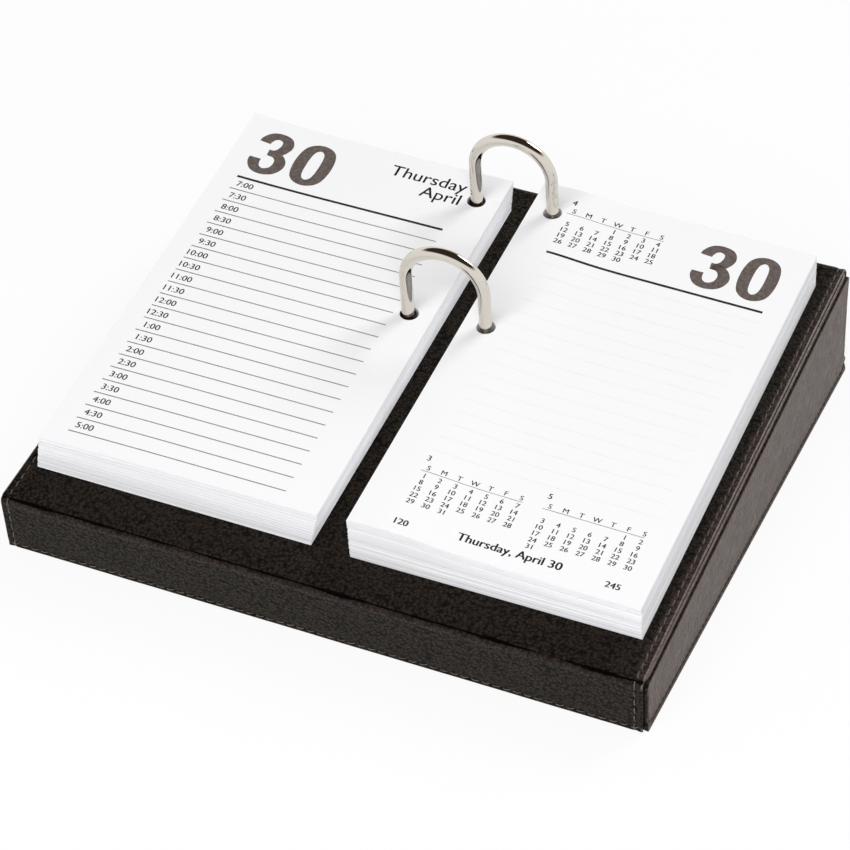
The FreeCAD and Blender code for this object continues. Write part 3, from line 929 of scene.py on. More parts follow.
@dataclass(frozen=True)
class Seam:
    """A row of stitches between two stations of a path, all in millimetres."""

    start: float
    stop: float
    wanted_pitch: float

    @property
    def count(self) -> int:
        """Number of whole stitches."""
        return max(1, round((self.stop - self.start) / self.wanted_pitch))

    @property
    def pitch(self) -> float:
        """True distance from stitch to stitch."""
        return (self.stop - self.start) / self.count

    def stations(self, parts: int = 4) -> Array:
        """Stations along the seam, every needle hole among them."""
        return self.start + self.pitch * np.arange(self.count * parts + 1) / parts

    def relief(self, at: Array, across: Array, depth: float) -> Array:
        """How far sewing pulls the leather in.

        Args:
            at: stations along the seam.
            across: distances from the seam line.
            depth: depth of the valley that the thread pulls.

        Returns:
            Heights, zero or negative, in millimetres.
        """
        phase = (at - self.start) / self.pitch
        hole = np.clip(np.floor(phase), 0, self.count - 1) + 0.5
        away = np.abs(phase - hole) * self.pitch
        return -depth * (bell(across, 0.75) + 1.1 * bell(np.hypot(across, away), 0.5))


def rolled_sheet(path: Array, normals: Array, columns: Array, thickness: float,
                 relief: Array | None = None, roll_parts: int = 5, inner_columns: int = 10) -> Shape:
    """Closed sheet that follows a path and whose two long edges are rolled over.

    Args:
        path: (u, n) of the outer surface, row by row.
        normals: outward unit normals of the path.
        columns: x places of the outer surface, between the two rolled edges.
        thickness: thickness of the sheet; the edges are rolled with half of it.
        relief: outward offsets of the outer surface, by row and column.
        roll_parts: steps around each rolled edge.
        inner_columns: columns of the hidden side.

    Returns:
        Points as rows by ring by 3, and faces that number them row by row.
    """
    half = thickness / 2
    turns = np.linspace(math.pi / 2, -math.pi / 2, roll_parts + 1)[1:-1]
    ring = [(x, 0.0, j) for j, x in enumerate(columns)]
    last = len(columns) - 1
    ring += [(columns[-1] + half * math.cos(t), half - half * math.sin(t), last) for t in turns]
    ring += [(x, thickness, 0) for x in np.linspace(columns[-1], columns[0], inner_columns)]
    ring += [(columns[0] - half * math.cos(t), half - half * math.sin(t), 0) for t in turns[::-1]]
    places, depths, owners = (np.array(column) for column in zip(*ring))
    lift = np.zeros((len(path), len(columns))) if relief is None else relief
    away = lift[:, owners.astype(int)] * (1 - depths / thickness) - depths
    points = np.empty((len(path), len(ring), 3))
    points[:, :, 0] = places
    points[:, :, 1] = path[:, :1] + away * normals[:, :1]
    points[:, :, 2] = path[:, 1:] + away * normals[:, 1:]
    faces = grid_faces(len(path), len(ring), close_columns=True)
    first = tuple(range(len(ring)))
    faces.append(first[::-1])
    faces.append(tuple(i + (len(path) - 1) * len(ring) for i in first))
    return points, faces


def punch(piece: Object, deck: Deck, places: Sequence[tuple[float, float]], radius: float) -> Object:
    """Cut round holes, square to the deck, through a piece.

    Args:
        piece: the object to cut; it is used up.
        deck: the deck that the places are measured on.
        places: (x, u) of each hole.
        radius: radius of the holes in millimetres.

    Returns:
        The cut object, under the same name.
    """
    sides, reach = 32, 12.0
    turn = np.arange(sides) * 2 * math.pi / sides
    points: list[tuple[float, float, float]] = []
    faces: Faces = []
    for x, u in places:
        first = len(points)
        for n in (-reach, reach):
            points += [(x + radius * math.cos(t), u + radius * math.sin(t), n) for t in turn]
        faces += [(first + k, first + (k + 1) % sides, first + sides + (k + 1) % sides, first + sides + k)
                  for k in range(sides)]
        faces += [tuple(range(first + sides - 1, first - 1, -1)),
                  tuple(range(first + sides, first + 2 * sides))]
    cutter = seat_piece(deck, "hole_cutter", np.array(points), faces, TOP_LEATHER, smooth=False)
    modifier = piece.modifiers.new("holes", "BOOLEAN")
    modifier.operation = "DIFFERENCE"
    modifier.solver = "EXACT"
    modifier.object = cutter
    name, mesh = piece.name, evaluated_mesh(piece)
    bpy.data.objects.remove(piece)
    bpy.data.objects.remove(cutter)
    mesh.name = name
    return link_object(name, mesh)


@dataclass
class LeatherWrap:
    """One sheet of leather over the front, the sloping top and the rear, with its padding."""

    deck: Deck
    crest_front: float = 2.0
    crest_rear: float = 3.0
    ground_gap: float = 0.1
    thickness: float = 1.0
    padding: float = 1.6
    hem_radius: float = 0.7
    hem_stitch_height: float = 1.7
    rim_stitch_inset: float = 2.0
    rim_pitch: float = 3.5
    hem_pitch: float = 3.2
    seam_depth: float = 0.2
    front_flare: float = 0.4
    front_flare_reach: float = 22.0
    crease_place: float = 0.95
    crease_width: float = 0.55
    crease_sway: float = 0.25
    crease_depth: float = 0.55
    unevenness: float = 0.07
    hole_clearance: float = 0.1

    @property
    def outer(self) -> Span:
        """Span of the wrap in the CAD model."""
        return self.deck.span("wrap_cover")

    @property
    def rim_x(self) -> float:
        """Distance of the rim seams from the middle."""
        return self.outer.high[0] - self.rim_stitch_inset

    @property
    def crest(self) -> float:
        """Station at which the outer path comes up to the sloping top in front."""
        points, _, along = self.walk(0.0)
        return float(along[np.argmax(points[:, 1] > -1e-6)])

    def walk(self, inset: float) -> tuple[Array, Array, Array]:
        """Path over the base at an inset, with its normals and stations.

        Args:
            inset: depth below the leather's outer surface.

        Returns:
            Points, normals and distances along the path.
        """
        near, far = inset, self.outer.high[1] - inset
        foot = [(u, self.deck.level(u, self.ground_gap)) for u in (near, far)]
        corners = [foot[0], (near, -inset), (far, -inset), foot[1]]
        radii = [self.crest_front - inset, self.crest_rear - inset]
        points, normals = rounded_path(corners, radii, 0.5, 10)
        return points, normals, distances_along(points)

    def at_stations(self, wanted: Array) -> tuple[Array, Array]:
        """Find places on the outer path.

        Args:
            wanted: stations from the front hem.

        Returns:
            Points and unit normals there.
        """
        points, normals, along = self.walk(0.0)
        place = np.stack([np.interp(wanted, along, points[:, k]) for k in (0, 1)], 1)
        facing = np.stack([np.interp(wanted, along, normals[:, k]) for k in (0, 1)], 1)
        return place, facing / np.linalg.norm(facing, axis=1, keepdims=True)

    @property
    def length(self) -> float:
        """Length of the outer path, from hem to hem."""
        return float(self.walk(0.0)[2][-1])

    @property
    def rim_seam(self) -> Seam:
        """Seam along each side edge, from hem to hem."""
        start = self.hem_stitch_height
        return Seam(start, self.length - start, self.rim_pitch)

    @property
    def hem_seam(self) -> Seam:
        """Seam along each hem, from rim seam to rim seam."""
        return Seam(-self.rim_x, self.rim_x, self.hem_pitch)

    def relief(self, along: Array, columns: Array) -> Array:
        """Offsets of the outer surface, by station and column.

        Args:
            along: stations from the front hem.
            columns: x places.

        Returns:
            Heights in millimetres; under the pages none is above zero.
        """
        station, x = np.meshgrid(along, columns, indexing="ij")
        from_hem = np.minimum(station, self.length - station)
        height = self.rim_seam.relief(station, np.abs(x) - self.rim_x, self.seam_depth)
        height += self.hem_seam.relief(x, from_hem - self.hem_stitch_height, self.seam_depth)
        height -= rounding(from_hem, self.hem_radius)
        sway = self.crease_sway * self.sway(columns)
        height -= (self.crease_depth + sway) * bell(station - self.crest + self.crease_place + sway, 0.6)
        soft = np.array([[drift(v, s, 21.0, 7.0) + 0.5 * drift(v, s, 8.0, 1.0) for v in columns]
                         for s in along])
        calm = 1 - bell(np.clip(self.outer.high[0] - 2.1 - np.abs(x), 0, None), 3.0)
        return height - self.unevenness * calm * (1.2 + soft)

    def sway(self, columns: Array) -> Array:
        """How the crease along the front crest wanders, by x place."""
        return np.array([drift(v, 0.0, 16.0, 3.0) for v in columns])

    def rows_and_columns(self) -> tuple[Array, Array]:
        """Choose the leather's grid lines, dense at the seams, crests and edges.

        Returns:
            Stations and x places.
        """
        ends = np.array([0.0, 0.08, 0.2, 0.4, 0.65, 0.9, 1.2, 1.6, 2.0, 2.4])
        points, _, along = self.walk(0.0)
        at_ends = (points[:, 0] < 3.6) | (points[:, 0] > self.outer.high[1] - 3.2)
        bent = along[(points[:, 1] > -4.0) & at_ends]
        valley = self.crest + np.arange(-3.4, 1.0, 0.18)
        rows = np.concatenate([ends, self.length - ends, self.rim_seam.stations(), bent, valley])
        half = self.outer.high[0] - self.thickness / 2
        near = self.rim_x + np.array([-1.3, -0.85, -0.5, -0.25, 0.0, 0.25, 0.5, 0.85, 1.3])
        columns = np.concatenate([[-half, half], near, -near, self.hem_seam.stations()])
        return thinned(rows, 0.07), thinned(columns, 0.15)

    def build(self) -> list[Object]:
        """Make the leather and the padding under it.

        Returns:
            The two pieces.
        """
        rows, columns = self.rows_and_columns()
        path, normals = self.at_stations(rows)
        relief = self.relief(rows, columns)
        points, faces = rolled_sheet(path, normals, columns, self.thickness, relief)
        flare = self.front_flare * np.exp(-np.clip(path[:, 0], 0, None) / self.front_flare_reach)
        reach = np.clip((np.abs(points[:, :, 0]) - 90) / 8, 0, 1) * np.sign(points[:, :, 0])
        points[:, :, 0] += reach * flare[:, None]
        leather = seat_piece(self.deck, "leather_wrap", points.reshape(-1, 3), faces, TOP_LEATHER)
        inner, facing, _ = self.walk(self.thickness)
        soft = self.deck.span("wrap_padding")
        edge = self.padding / 2
        across = np.linspace(soft.low[0] + edge, soft.high[0] - edge, 24)
        layer, sides = rolled_sheet(inner[::2], facing[::2], across, self.padding)
        padding = seat_piece(self.deck, "padding_layer", layer.reshape(-1, 3), sides, FOAM)
        posts = [self.deck.span(f"{end}_{side.label}_post") for end in ("front", "rear") for side in Side]
        places = [tuple(post.middle[:2]) for post in posts]
        radius = posts[0].size[0] / 2 + self.hole_clearance
        pieces = [punch(piece, self.deck, places, radius) for piece in (leather, padding)]
        self.burnish(pieces[0])
        return pieces

    def burnish(self, piece: Object) -> None:
        """Paint light and shade: highlights on the rolled side edges and the crest, shade in the crease,
        sheen on the right rim.

        Args:
            piece: the leather, punched.
        """
        leather_and_painted_light = (TOP_LEATHER, EDGE_HIGHLIGHT_PAINT, RIM_SHEEN_PAINT, CREASE_SHADE_PAINT, CREST_HIGHLIGHT_PAINT)
        for finish in leather_and_painted_light[1:]:
            piece.data.materials.append(finish.material())
        radius, edge = self.crest_front, self.outer.high[0]
        for face in piece.data.polygons:
            x, u, n = self.deck.flat(face.center)
            up = face.normal.dot(self.deck.normal)
            wears = TOP_LEATHER
            # painted highlight on the rolled side edges: faces turned up and outwards get the lighter edge
            # leather
            if edge - abs(x) < 0.9 * self.thickness and abs(face.normal.x) > 0.25 and up > 0.05:
                wears = EDGE_HIGHLIGHT_PAINT
            elif u < radius and n > -1.5 * radius:
                sway = float(self.sway(np.array([x]))[0])
                bent = radius * math.atan2(radius - u, n + radius)
                off = self.crease_place + self.crease_sway * sway - bent
                # painted shade: a band along the crease, wandering with it, wears the near-black leather
                if abs(off) < self.crease_width * min(1.3, max(0.15, 0.75 + 1.4 * sway)):
                    wears = CREASE_SHADE_PAINT
                # painted highlight on the crest's curve in front of the crease
                elif off < 0:
                    wears = CREST_HIGHLIGHT_PAINT
            # painted sheen on the right rim's upward faces, outside the seam
            elif edge - x < self.rim_stitch_inset + 0.6 and up > 0.5:
                wears = RIM_SHEEN_PAINT
            face.material_index = leather_and_painted_light.index(wears)

    def dress(self, pieces: list[Object]) -> list[Object]:
        """Let the pieces stand for the CAD solids, and sew them.

        Args:
            pieces: what build() returned.

        Returns:
            The stitching.
        """
        leather, padding = pieces
        covers = (leather, "wrap_cover", "cover_leather"), (padding, "wrap_padding", "foam")
        for piece, node, slot in covers:
            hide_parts(node)
            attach(piece, "base")
        sunk = 0.9 * self.seam_depth
        place, facing = self.at_stations(self.rim_seam.stations(8))
        place = place - sunk * facing
        rims = [(np.insert(place, 0, side.value * self.rim_x, 1), np.insert(facing, 0, 0.0, 1))
                for side in Side]
        x = self.hem_seam.stations(2)
        ends = np.array([self.hem_stitch_height, self.length - self.hem_stitch_height])
        place, facing = self.at_stations(ends)
        hems = [(np.insert(np.tile(p, (len(x), 1)), 0, x, 1), np.tile([0.0, *f], (len(x), 1)))
                for p, f in zip(place - sunk * facing, facing)]
        return [sew(self.deck, "rim_stitching", rims, self.rim_seam.pitch, 5),
                sew(self.deck, "hem_stitching", hems, self.hem_seam.pitch, 9, radius=0.13)]


def thinned(places: Array, least: float) -> Array:
    """Sort places and drop those that crowd the one before; both ends are kept.

    Args:
        places: places in any order.
        least: least distance between two that stay.

    Returns:
        The places that stay.
    """
    ordered = np.sort(places)
    kept = [ordered[0]]
    for place in ordered[1:]:
        if place - kept[-1] >= least:
            kept.append(place)
    kept[-1] = ordered[-1]
    return np.array(kept)


def sew(deck: Deck, name: str, paths: Sequence[tuple[Array, Array]], pitch: float, seed: int,
        body: str = "base", thread: Finish = THREAD, radius: float = 0.17) -> Object:
    """Sew stitches along paths on the leather.

    Args:
        deck: the deck that the points are measured on.
        name: the piece's name.
        paths: points and outward directions of each seam.
        pitch: distance from stitch to stitch in millimetres.
        seed: seed of the stitches' unevenness.
        body: body that the leather rides on.
        thread: what the stitches are made of.
        radius: radius of the thread in millimetres.

    Returns:
        The stitching.
    """
    points = np.concatenate([p for p, _ in paths])
    ups = np.concatenate([up for _, up in paths])
    edges: list[tuple[int, int]] = []
    first = 0
    for path, _ in paths:
        edges += [(first + k, first + k + 1) for k in range(len(path) - 1)]
        first += len(path)
    values = {
        "Pitch": pitch * 0.9999, "Stitch Length": pitch * 0.7, "Thread Radius": radius,
        "Rise": 0.5, "Slant": 0.14, "Seed": seed,
    }
    piece = StitchRow().grow(deck, name, points, edges, [], values, thread, {"up": ups})
    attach(piece, body)
    return piece


def handed(points: Array, faces: Faces, side: Side) -> Shape:
    """Mirror a shape that is drawn for the right side where it goes on the left one."""
    if side is Side.RIGHT:
        return points, faces
    return points * (-1, 1, 1), [face[::-1] for face in faces]


@dataclass
class EdgeBead:
    """Rolled edge of the lining under a side edge of the wrap: the second bead of the rim."""

    deck: Deck
    side: Side
    wrap: LeatherWrap
    end_bend: float = 1.1
    end_bend_reach: float = 3.0

    def build(self) -> Object:
        """Strip along the wrap's inside that curls inwards at its two ends.

        Returns:
            The piece.
        """
        cad = self.deck.span(f"{self.side.label}_edge_lining")
        inset = self.wrap.thickness
        thickness = self.wrap.padding
        path, normals, _ = self.wrap.walk(inset)
        keep = path[:, 1] > -inset - (self.wrap.crest_rear - inset) * 0.9
        path, normals = path[keep], normals[keep]
        width = cad.size[0]
        outside = max(abs(cad.low[0]), cad.high[0])
        columns = np.linspace(outside - width + thickness / 2, outside - thickness / 2, 9)
        points, faces = rolled_sheet(path, normals, columns, thickness, roll_parts=10, inner_columns=3)
        end = np.minimum(path[:, 0], cad.high[1] + cad.low[1] - path[:, 0])
        bend = self.end_bend * bell(end, self.end_bend_reach)
        points[:, :, 0] -= bend[:, None] * np.clip((points[:, :, 0] - columns[0]) / (width - thickness), 0, 1)
        shape = handed(points.reshape(-1, 3), faces, self.side)
        piece = seat_piece(self.deck, f"{self.side.label}_edge_bead", *shape, TOP_LEATHER)
        piece.data.materials.append(EDGE_HIGHLIGHT_PAINT.material())
        # painted highlight: the bead's faces turned up and outwards get the lighter edge leather
        for face in piece.data.polygons:
            if abs(face.normal.x) > 0.25 and face.normal.dot(self.deck.normal) > 0.3:
                face.material_index = 1
        return piece

    def dress(self, piece: Object) -> None:
        """Let the bead stand for the CAD lining and ride on the base."""
        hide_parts(f"{self.side.label}_edge_lining")
        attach(piece, "base")


@dataclass
class SidePanel:
    """Leather panel over one side of the base, rolled at its edges and stitched along its foot."""

    deck: Deck
    side: Side
    name: str
    nodes: tuple[str, ...]
    body: str
    ground_gap: float = 0.1
    roll: float = 1.1
    head_roll: float = 0.4
    head_lift: float = -0.45
    lip: float = 0.0
    foot_roll: float = 0.35
    foot_reach: float = 0.95
    groove: float = 0.45
    top_corner: float = 1.5
    foot_corner: float = 0.8
    foot_flare: float = 0.35
    stitch_height: float = 1.6
    stitch_corner: float = 3.4
    pitch: float = 2.8
    seam_depth: float = 0.22

    @property
    def cad(self) -> Span:
        """Span of the panel's CAD nodes, less the groove before and behind it, and with its head moved."""
        spans = [self.deck.span(node) for node in self.nodes]
        low, high = np.min([s.low for s in spans], 0), np.max([s.high for s in spans], 0)
        inset = np.array([0.0, self.groove, 0.0])
        return Span(low + inset, high - inset + np.array([0.0, 0.0, self.head_lift]))

    @property
    def stitch_line(self) -> Array:
        """Path (u, n) of the seam: along the foot, and up round the two lower corners."""
        radius, inset = self.stitch_corner, 0.3
        near, far = self.cad.low[1] + inset, self.cad.high[1] - inset
        turn = np.linspace(0, math.pi / 2, 12)
        run = np.linspace(near + radius, far - radius, 120)[1:-1]
        bend, rise = radius * (1 - np.cos(turn)), radius * (1 - np.sin(turn))
        u = np.concatenate([near + bend, run, far - bend[::-1]])
        up = np.concatenate([rise, 0 * run, rise[::-1]])
        return np.stack([u, self.deck.level(u, self.ground_gap + self.stitch_height) + up], 1)

    @property
    def seam(self) -> Seam:
        """Seam along the stitch line, by distance from its front end."""
        return Seam(0.0, float(distances_along(self.stitch_line)[-1]), self.pitch)

    def along_line(self, wanted: Array) -> Array:
        """Places (u, n) at distances along the stitch line."""
        line = self.stitch_line
        return np.stack([np.interp(wanted, distances_along(line), line[:, k]) for k in (0, 1)], 1)

    def foot(self, u: Array) -> Array:
        """Height n of the panel's lower edge, with its two corners rounded."""
        return self.deck.level(u, self.ground_gap) + self.corner_rise(u, self.foot_corner)

    def head(self, u: Array) -> Array:
        """Height n of the panel's upper edge, with its two corners rounded."""
        return self.cad.high[2] - self.corner_rise(u, self.top_corner)

    def corner_rise(self, u: Array, radius: float) -> Array:
        """How far a corner of the given radius cuts in at u."""
        return rounding(np.minimum(u - self.cad.low[1], self.cad.high[1] - u), radius)

    def panel(self) -> Shape:
        """Closed panel for the right side: face, rolled border, walls and back.

        Returns:
            Points and faces in deck millimetres.
        """
        low, high = self.cad.low, self.cad.high
        corner = self.foot_corner * (1 - np.cos(np.linspace(0, math.pi / 2, 9)))
        tight = np.array([0.0, 0.06, 0.16, 0.32, 0.55, 0.85, 1.2])
        u = thinned(np.concatenate([
            low[1] + corner, high[1] - corner, low[1] + tight, high[1] - tight,
            self.along_line(self.seam.stations())[:, 0]]), 0.05)
        foot, head = self.foot(u), self.head(u)
        sewn, under_head = 5.0, 1.8
        rows = [foot + d for d in (*tight, 1.6, 2.0, 2.4, 2.8, 3.2, 3.8, 4.4, sewn)]
        rows += [foot + sewn + (head - foot - sewn - under_head) * t for t in np.linspace(0, 1, 9)[1:]]
        rows += [head - d for d in tight[::-1]]
        n = np.array(rows)
        across = np.broadcast_to(u, n.shape)

        def away_from(spots: Array) -> Array:
            """Distance of every point of the face from the nearest of some (u, n) spots."""
            return np.hypot(across[..., None] - spots[:, 0], n[..., None] - spots[:, 1]).min(-1)

        fine = np.linspace(low[1], high[1], 400)
        rim = [np.stack([fine, edge(fine)], 1) for edge in (self.foot, self.head)]
        for end in (low[1], high[1]):
            upright = np.linspace(self.foot(np.array([end]))[0], self.head(np.array([end]))[0], 40)
            rim.append(np.insert(upright[:, None], 0, end, 1))
        border = away_from(np.concatenate(rim))
        border[0], border[-1], border[:, 0], border[:, -1] = 0, 0, 0, 0
        above = n - foot
        roll = np.minimum(
            self.foot_roll + (self.roll - self.foot_roll) * np.clip(above / 4 - 0.25, 0, 1),
            self.head_roll + (self.roll - self.head_roll) * np.clip((head - n) / 3 - 0.1, 0, 1))
        sunk = rounding(border, roll) - self.foot_flare * bell(above, 2.0)
        away = away_from(self.along_line(self.seam.stations(8)))
        pulled = away_from(self.along_line((np.arange(self.seam.count) + 0.5) * self.seam.pitch))
        sunk = sunk + self.seam_depth * (bell(away, 0.55) + 0.8 * bell(pulled, 0.5))
        soft = np.array([[drift(a, b, 17.0, 5.0) for a, b in zip(*row)] for row in zip(across, n)])
        sunk = sunk + 0.05 * (1 + soft) * np.clip(border / 3, 0, 1)
        back, front = sorted((abs(low[0]), abs(high[0])))
        points = np.stack([front - sunk, across, n], -1).reshape(-1, 3)
        faces = grid_faces(*n.shape)
        grid = np.arange(n.size).reshape(n.shape)
        loop = np.concatenate([grid[0], grid[1:, -1], grid[-1, -2::-1], grid[-2:0:-1, 0]]).tolist()
        behind = points[loop].copy()
        behind[:, 0] = back + self.lip * (behind[:, 2] > high[2] - 0.5)
        toe = np.exp(-np.clip(across - low[1], 0, None) / 2.0) * bell(above, 1.6)
        forward = self.foot_reach * toe.ravel()
        points[:, 1] -= forward
        points[:, 2] += forward * self.deck.along.z / self.deck.normal.z
        count, turn = n.size, len(loop)
        faces += [(loop[(k + 1) % turn], loop[k], count + k, count + (k + 1) % turn) for k in range(turn)]
        faces.append(tuple(range(count + turn - 1, count - 1, -1)))
        return np.concatenate([points, behind]), faces

    def build(self) -> Object:
        """Place the panel on its side.

        Returns:
            The piece.
        """
        piece = seat_piece(self.deck, self.name, *handed(*self.panel(), self.side), LIT_SIDE_LEATHER)
        piece.data.materials.append(TOP_LEATHER.material())
        # painted light and shade: the face turned to the side keeps the paler leather, the borders turned
        # other ways get the dark one, so the top border reads as a dark line
        for face in piece.data.polygons:
            if abs(face.normal.x) < 0.8:
                face.material_index = 1
        return piece

    def dress(self, piece: Object) -> Object:
        """Let the panel stand for its CAD nodes, and sew its foot.

        Args:
            piece: what build() returned.

        Returns:
            The stitching.
        """
        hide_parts(*self.nodes)
        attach(piece, self.body)
        line = self.along_line(self.seam.stations(4))
        proud = self.foot_flare * bell(line[:, 1] - self.foot(line[:, 0]), 2.0) - 0.7 * self.seam_depth
        outside = max(abs(self.cad.low[0]), self.cad.high[0]) + proud
        path = np.stack([self.side.value * outside, line[:, 0], line[:, 1]], 1)
        up = np.tile([float(self.side.value), 0.0, 0.0], (len(line), 1))
        return sew(
            self.deck, f"{self.name}_stitching", [(path, up)], self.seam.pitch, 13, self.body, DARK_THREAD)


def prisms(sections: Sequence[tuple[Sequence[tuple[float, float]], float, float]]) -> Shape:
    """Closed prisms along x.

    Args:
        sections: for each prism its (u, n) corners, clockwise seen from the right, and its two x ends.

    Returns:
        Points and outward faces of all of them.
    """
    points: list[tuple[float, float, float]] = []
    faces: Faces = []
    for outline, low, high in sections:
        first, count = len(points), len(outline)
        points += [(x, u, n) for x in (low, high) for u, n in outline]
        near = tuple(range(first, first + count))
        far = tuple(k + count for k in near)
        faces += [near, far[::-1]]
        faces += [(near[(k + 1) % count], near[k], far[k], far[(k + 1) % count]) for k in range(count)]
    return np.array(points), faces


@dataclass
class DrawerMouth:
    """Thin leather on the end faces of the base's boards: behind the left panel, and round the
    opening that the drawer slides out of."""

    deck: Deck
    thickness: float = 0.25

    def outline(self, inset: float, top: float, foot: float) -> list[tuple[float, float]]:
        """Four (u, n) corners, clockwise from the foot of the front end.

        Args:
            inset: distance from the front and rear planes of the boards.
            top: depth under the leather top.
            foot: height above the desk.

        Returns:
            The corners.
        """
        boards = self.deck.span("top_board")
        near, far = boards.low[1] + inset, boards.high[1] - inset
        level = self.deck.level
        return [(near, level(near, foot)), (near, -top), (far, -top), (far, level(far, foot))]

    def build(self) -> Object:
        """Four strips round the mouth and one sheet behind the left panel.

        Returns:
            The piece.
        """
        boards, wall = self.deck.span("top_board"), self.deck.span("front_board")
        outer = self.outline(0.05, -boards.high[2], 1.0)
        inner = self.outline(wall.size[1], -boards.low[2], 4.0)
        left, right = boards.low[0], boards.high[0]
        parts = [
            ([outer[k], outer[(k + 1) % 4], inner[(k + 1) % 4], inner[k]], right, right + self.thickness)
            for k in range(4)
        ]
        parts.append((outer, left - self.thickness, left - 0.02))
        # the end faces wear the paler side leather, which is painted light
        return seat_piece(self.deck, "drawer_mouth", *prisms(parts), LIT_SIDE_LEATHER, smooth=False)

    def dress(self, piece: Object) -> None:
        """Ride on the base, in the side leather that is painted lighter."""
        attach(piece, "base")


@dataclass
class DrawerLining:
    """Felt glued to the floor and the inner faces of the drawer's box."""

    deck: Deck
    thickness: float = 0.5

    def build(self) -> Object:
        """A sheet on the floor and one on each wall.

        Returns:
            The piece.
        """
        floor, back = self.deck.span("drawer_floor"), self.deck.span("drawer_back_wall")
        front_wall, rear_wall = self.deck.span("drawer_front_wall"), self.deck.span("drawer_rear_wall")
        near, far, top = front_wall.high[1], rear_wall.low[1], front_wall.high[2] - 0.3
        left, right = back.high[0], floor.high[0]
        deck, sheet = self.deck, self.thickness
        low = deck.origin.z / MM + near * deck.along.z + front_wall.low[2] * deck.normal.z

        def upright(first: float, last: float) -> list[tuple[float, float]]:
            """Outline from the floor to the walls' tops, between two u places."""
            return [(first, deck.level(first, low)), (first, top), (last, top), (last, deck.level(last, low))]

        ends = [[(u, deck.level(u, low + lift)) for lift in lifts]
                for u, lifts in ((near, (0.0, sheet)), (far, (sheet, 0.0)))]
        parts = [([*ends[0], *ends[1]], left, right), (upright(near, near + sheet), left, right),
                 (upright(far - sheet, far), left, right), (upright(near, far), left, left + sheet),
                 (upright(near, far), right - sheet, right)]
        return seat_piece(deck, "drawer_lining", *prisms(parts), FELT, smooth=False)

    def dress(self, piece: Object) -> None:
        """Ride with the drawer."""
        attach(piece, "drawer")


# ---- paper


@dataclass(frozen=True)
class PageLie:
    """How the pages of one side lie: turns in degrees, the rest in millimetres."""

    bottom_turn: float
    top_turn: float
    bottom_slide: float
    top_slide: float
    rise: float
    pitch: float
    bulge: float
    rear_curl: float
    front_curl: float
    bulge_place: float = 12.0
    bulge_width: float = 13.0
    curl_start: float = 50.0
    curl_reach: float = 38.9
    seed: int = 1


@dataclass(frozen=True)
class PageSurface:
    """Shape of the top of a pile, on which leaves and print lie."""

    side: Side
    width: float
    length: float
    hole_inset: float
    hole_place: tuple[float, float]
    rear_edge: float
    height: float
    fall: float
    lie: PageLie

    def lift(self, out: Array, back: Array) -> Array:
        """How far the paper arches above a flat pile.

        Args:
            out: distances from the binding edge.
            back: distances from the rear edge.

        Returns:
            Heights in millimetres.
        """
        lie, forward = self.lie, back / self.length
        slant = lie.rise * (out - self.width / 2) / (self.width / 2) + lie.pitch * (2 * forward - 1)
        arch = lie.bulge * bell(out - lie.bulge_place, lie.bulge_width)
        lip = np.square(np.clip(out - lie.curl_start, 0, None) / lie.curl_reach)
        return slant + arch + lip * (lie.rear_curl * (1 - forward) ** 4 + lie.front_curl * forward**4)

    def place(self, out: Array, back: Array, above: Array | float) -> Array:
        """Deck coordinates of points on the top page.

        Args:
            out: distances from the binding edge.
            back: distances from the rear edge.
            above: heights above the pile's top.

        Returns:
            Rows of x, u and n.
        """
        turn = math.radians(self.lie.top_turn)
        x = self.side.value * (out - self.hole_inset) * math.cos(self.fall)
        y = self.rear_edge - back
        n = self.height - math.sin(self.fall) * (out - self.hole_inset) + self.lift(out, back) + above
        c, s = math.cos(turn), math.sin(turn)
        across = c * x - s * y + self.hole_place[0] + self.lie.top_slide
        return np.stack([across, s * x + c * y + self.hole_place[1], n], 1)


def punched_sheet(columns: Array, rows: Array, holes: Sequence[float], radius: float, square: float,
                  sides: int) -> Shape:
    """Flat grid with round holes on the line x = 0.

    Args:
        columns: x of the grid lines, with 0 and plus and minus square among them.
        rows: y of the grid lines, with each hole's y and y plus and minus square among them.
        holes: y of each hole.
        radius: radius of the holes.
        square: half-width of the square of cells that gives way to each hole.
        sides: sides of each hole, a multiple of 8.

    Returns:
        Points (x, y) and anticlockwise faces.
    """
    wide = len(columns)
    points = [(x, y) for y in rows for x in columns]
    faces: Faces = []
    for i in range(len(rows) - 1):
        for j in range(wide - 1):
            x, y = (columns[j] + columns[j + 1]) / 2, (rows[i] + rows[i + 1]) / 2
            if not any(abs(x) < square and abs(y - hole) < square for hole in holes):
                faces.append((i * wide + j, i * wide + j + 1, (i + 1) * wide + j + 1, (i + 1) * wide + j))
    steps = [(1, 0), (1, 1), (0, 1), (-1, 1), (-1, 0), (-1, -1), (0, -1), (1, -1)]
    part = sides // 8
    for hole in holes:
        at = [(int(np.argmin(abs(rows - hole - dy * square))), int(np.argmin(abs(columns - dx * square))))
              for dx, dy in steps]
        frame = [i * wide + j for i, j in at]
        first = len(points)
        turns = [2 * math.pi * k / sides for k in range(sides)]
        points += [(radius * math.cos(t), hole + radius * math.sin(t)) for t in turns]
        for q in range(8):
            inner = [first + (q * part + k) % sides for k in range(part, -1, -1)]
            faces.append((frame[q], frame[(q + 1) % 8], *inner))
    used = sorted({k for face in faces for k in face})
    renumber = {old: new for new, old in enumerate(used)}
    return np.array([points[k] for k in used]), [tuple(renumber[k] for k in face) for face in faces]


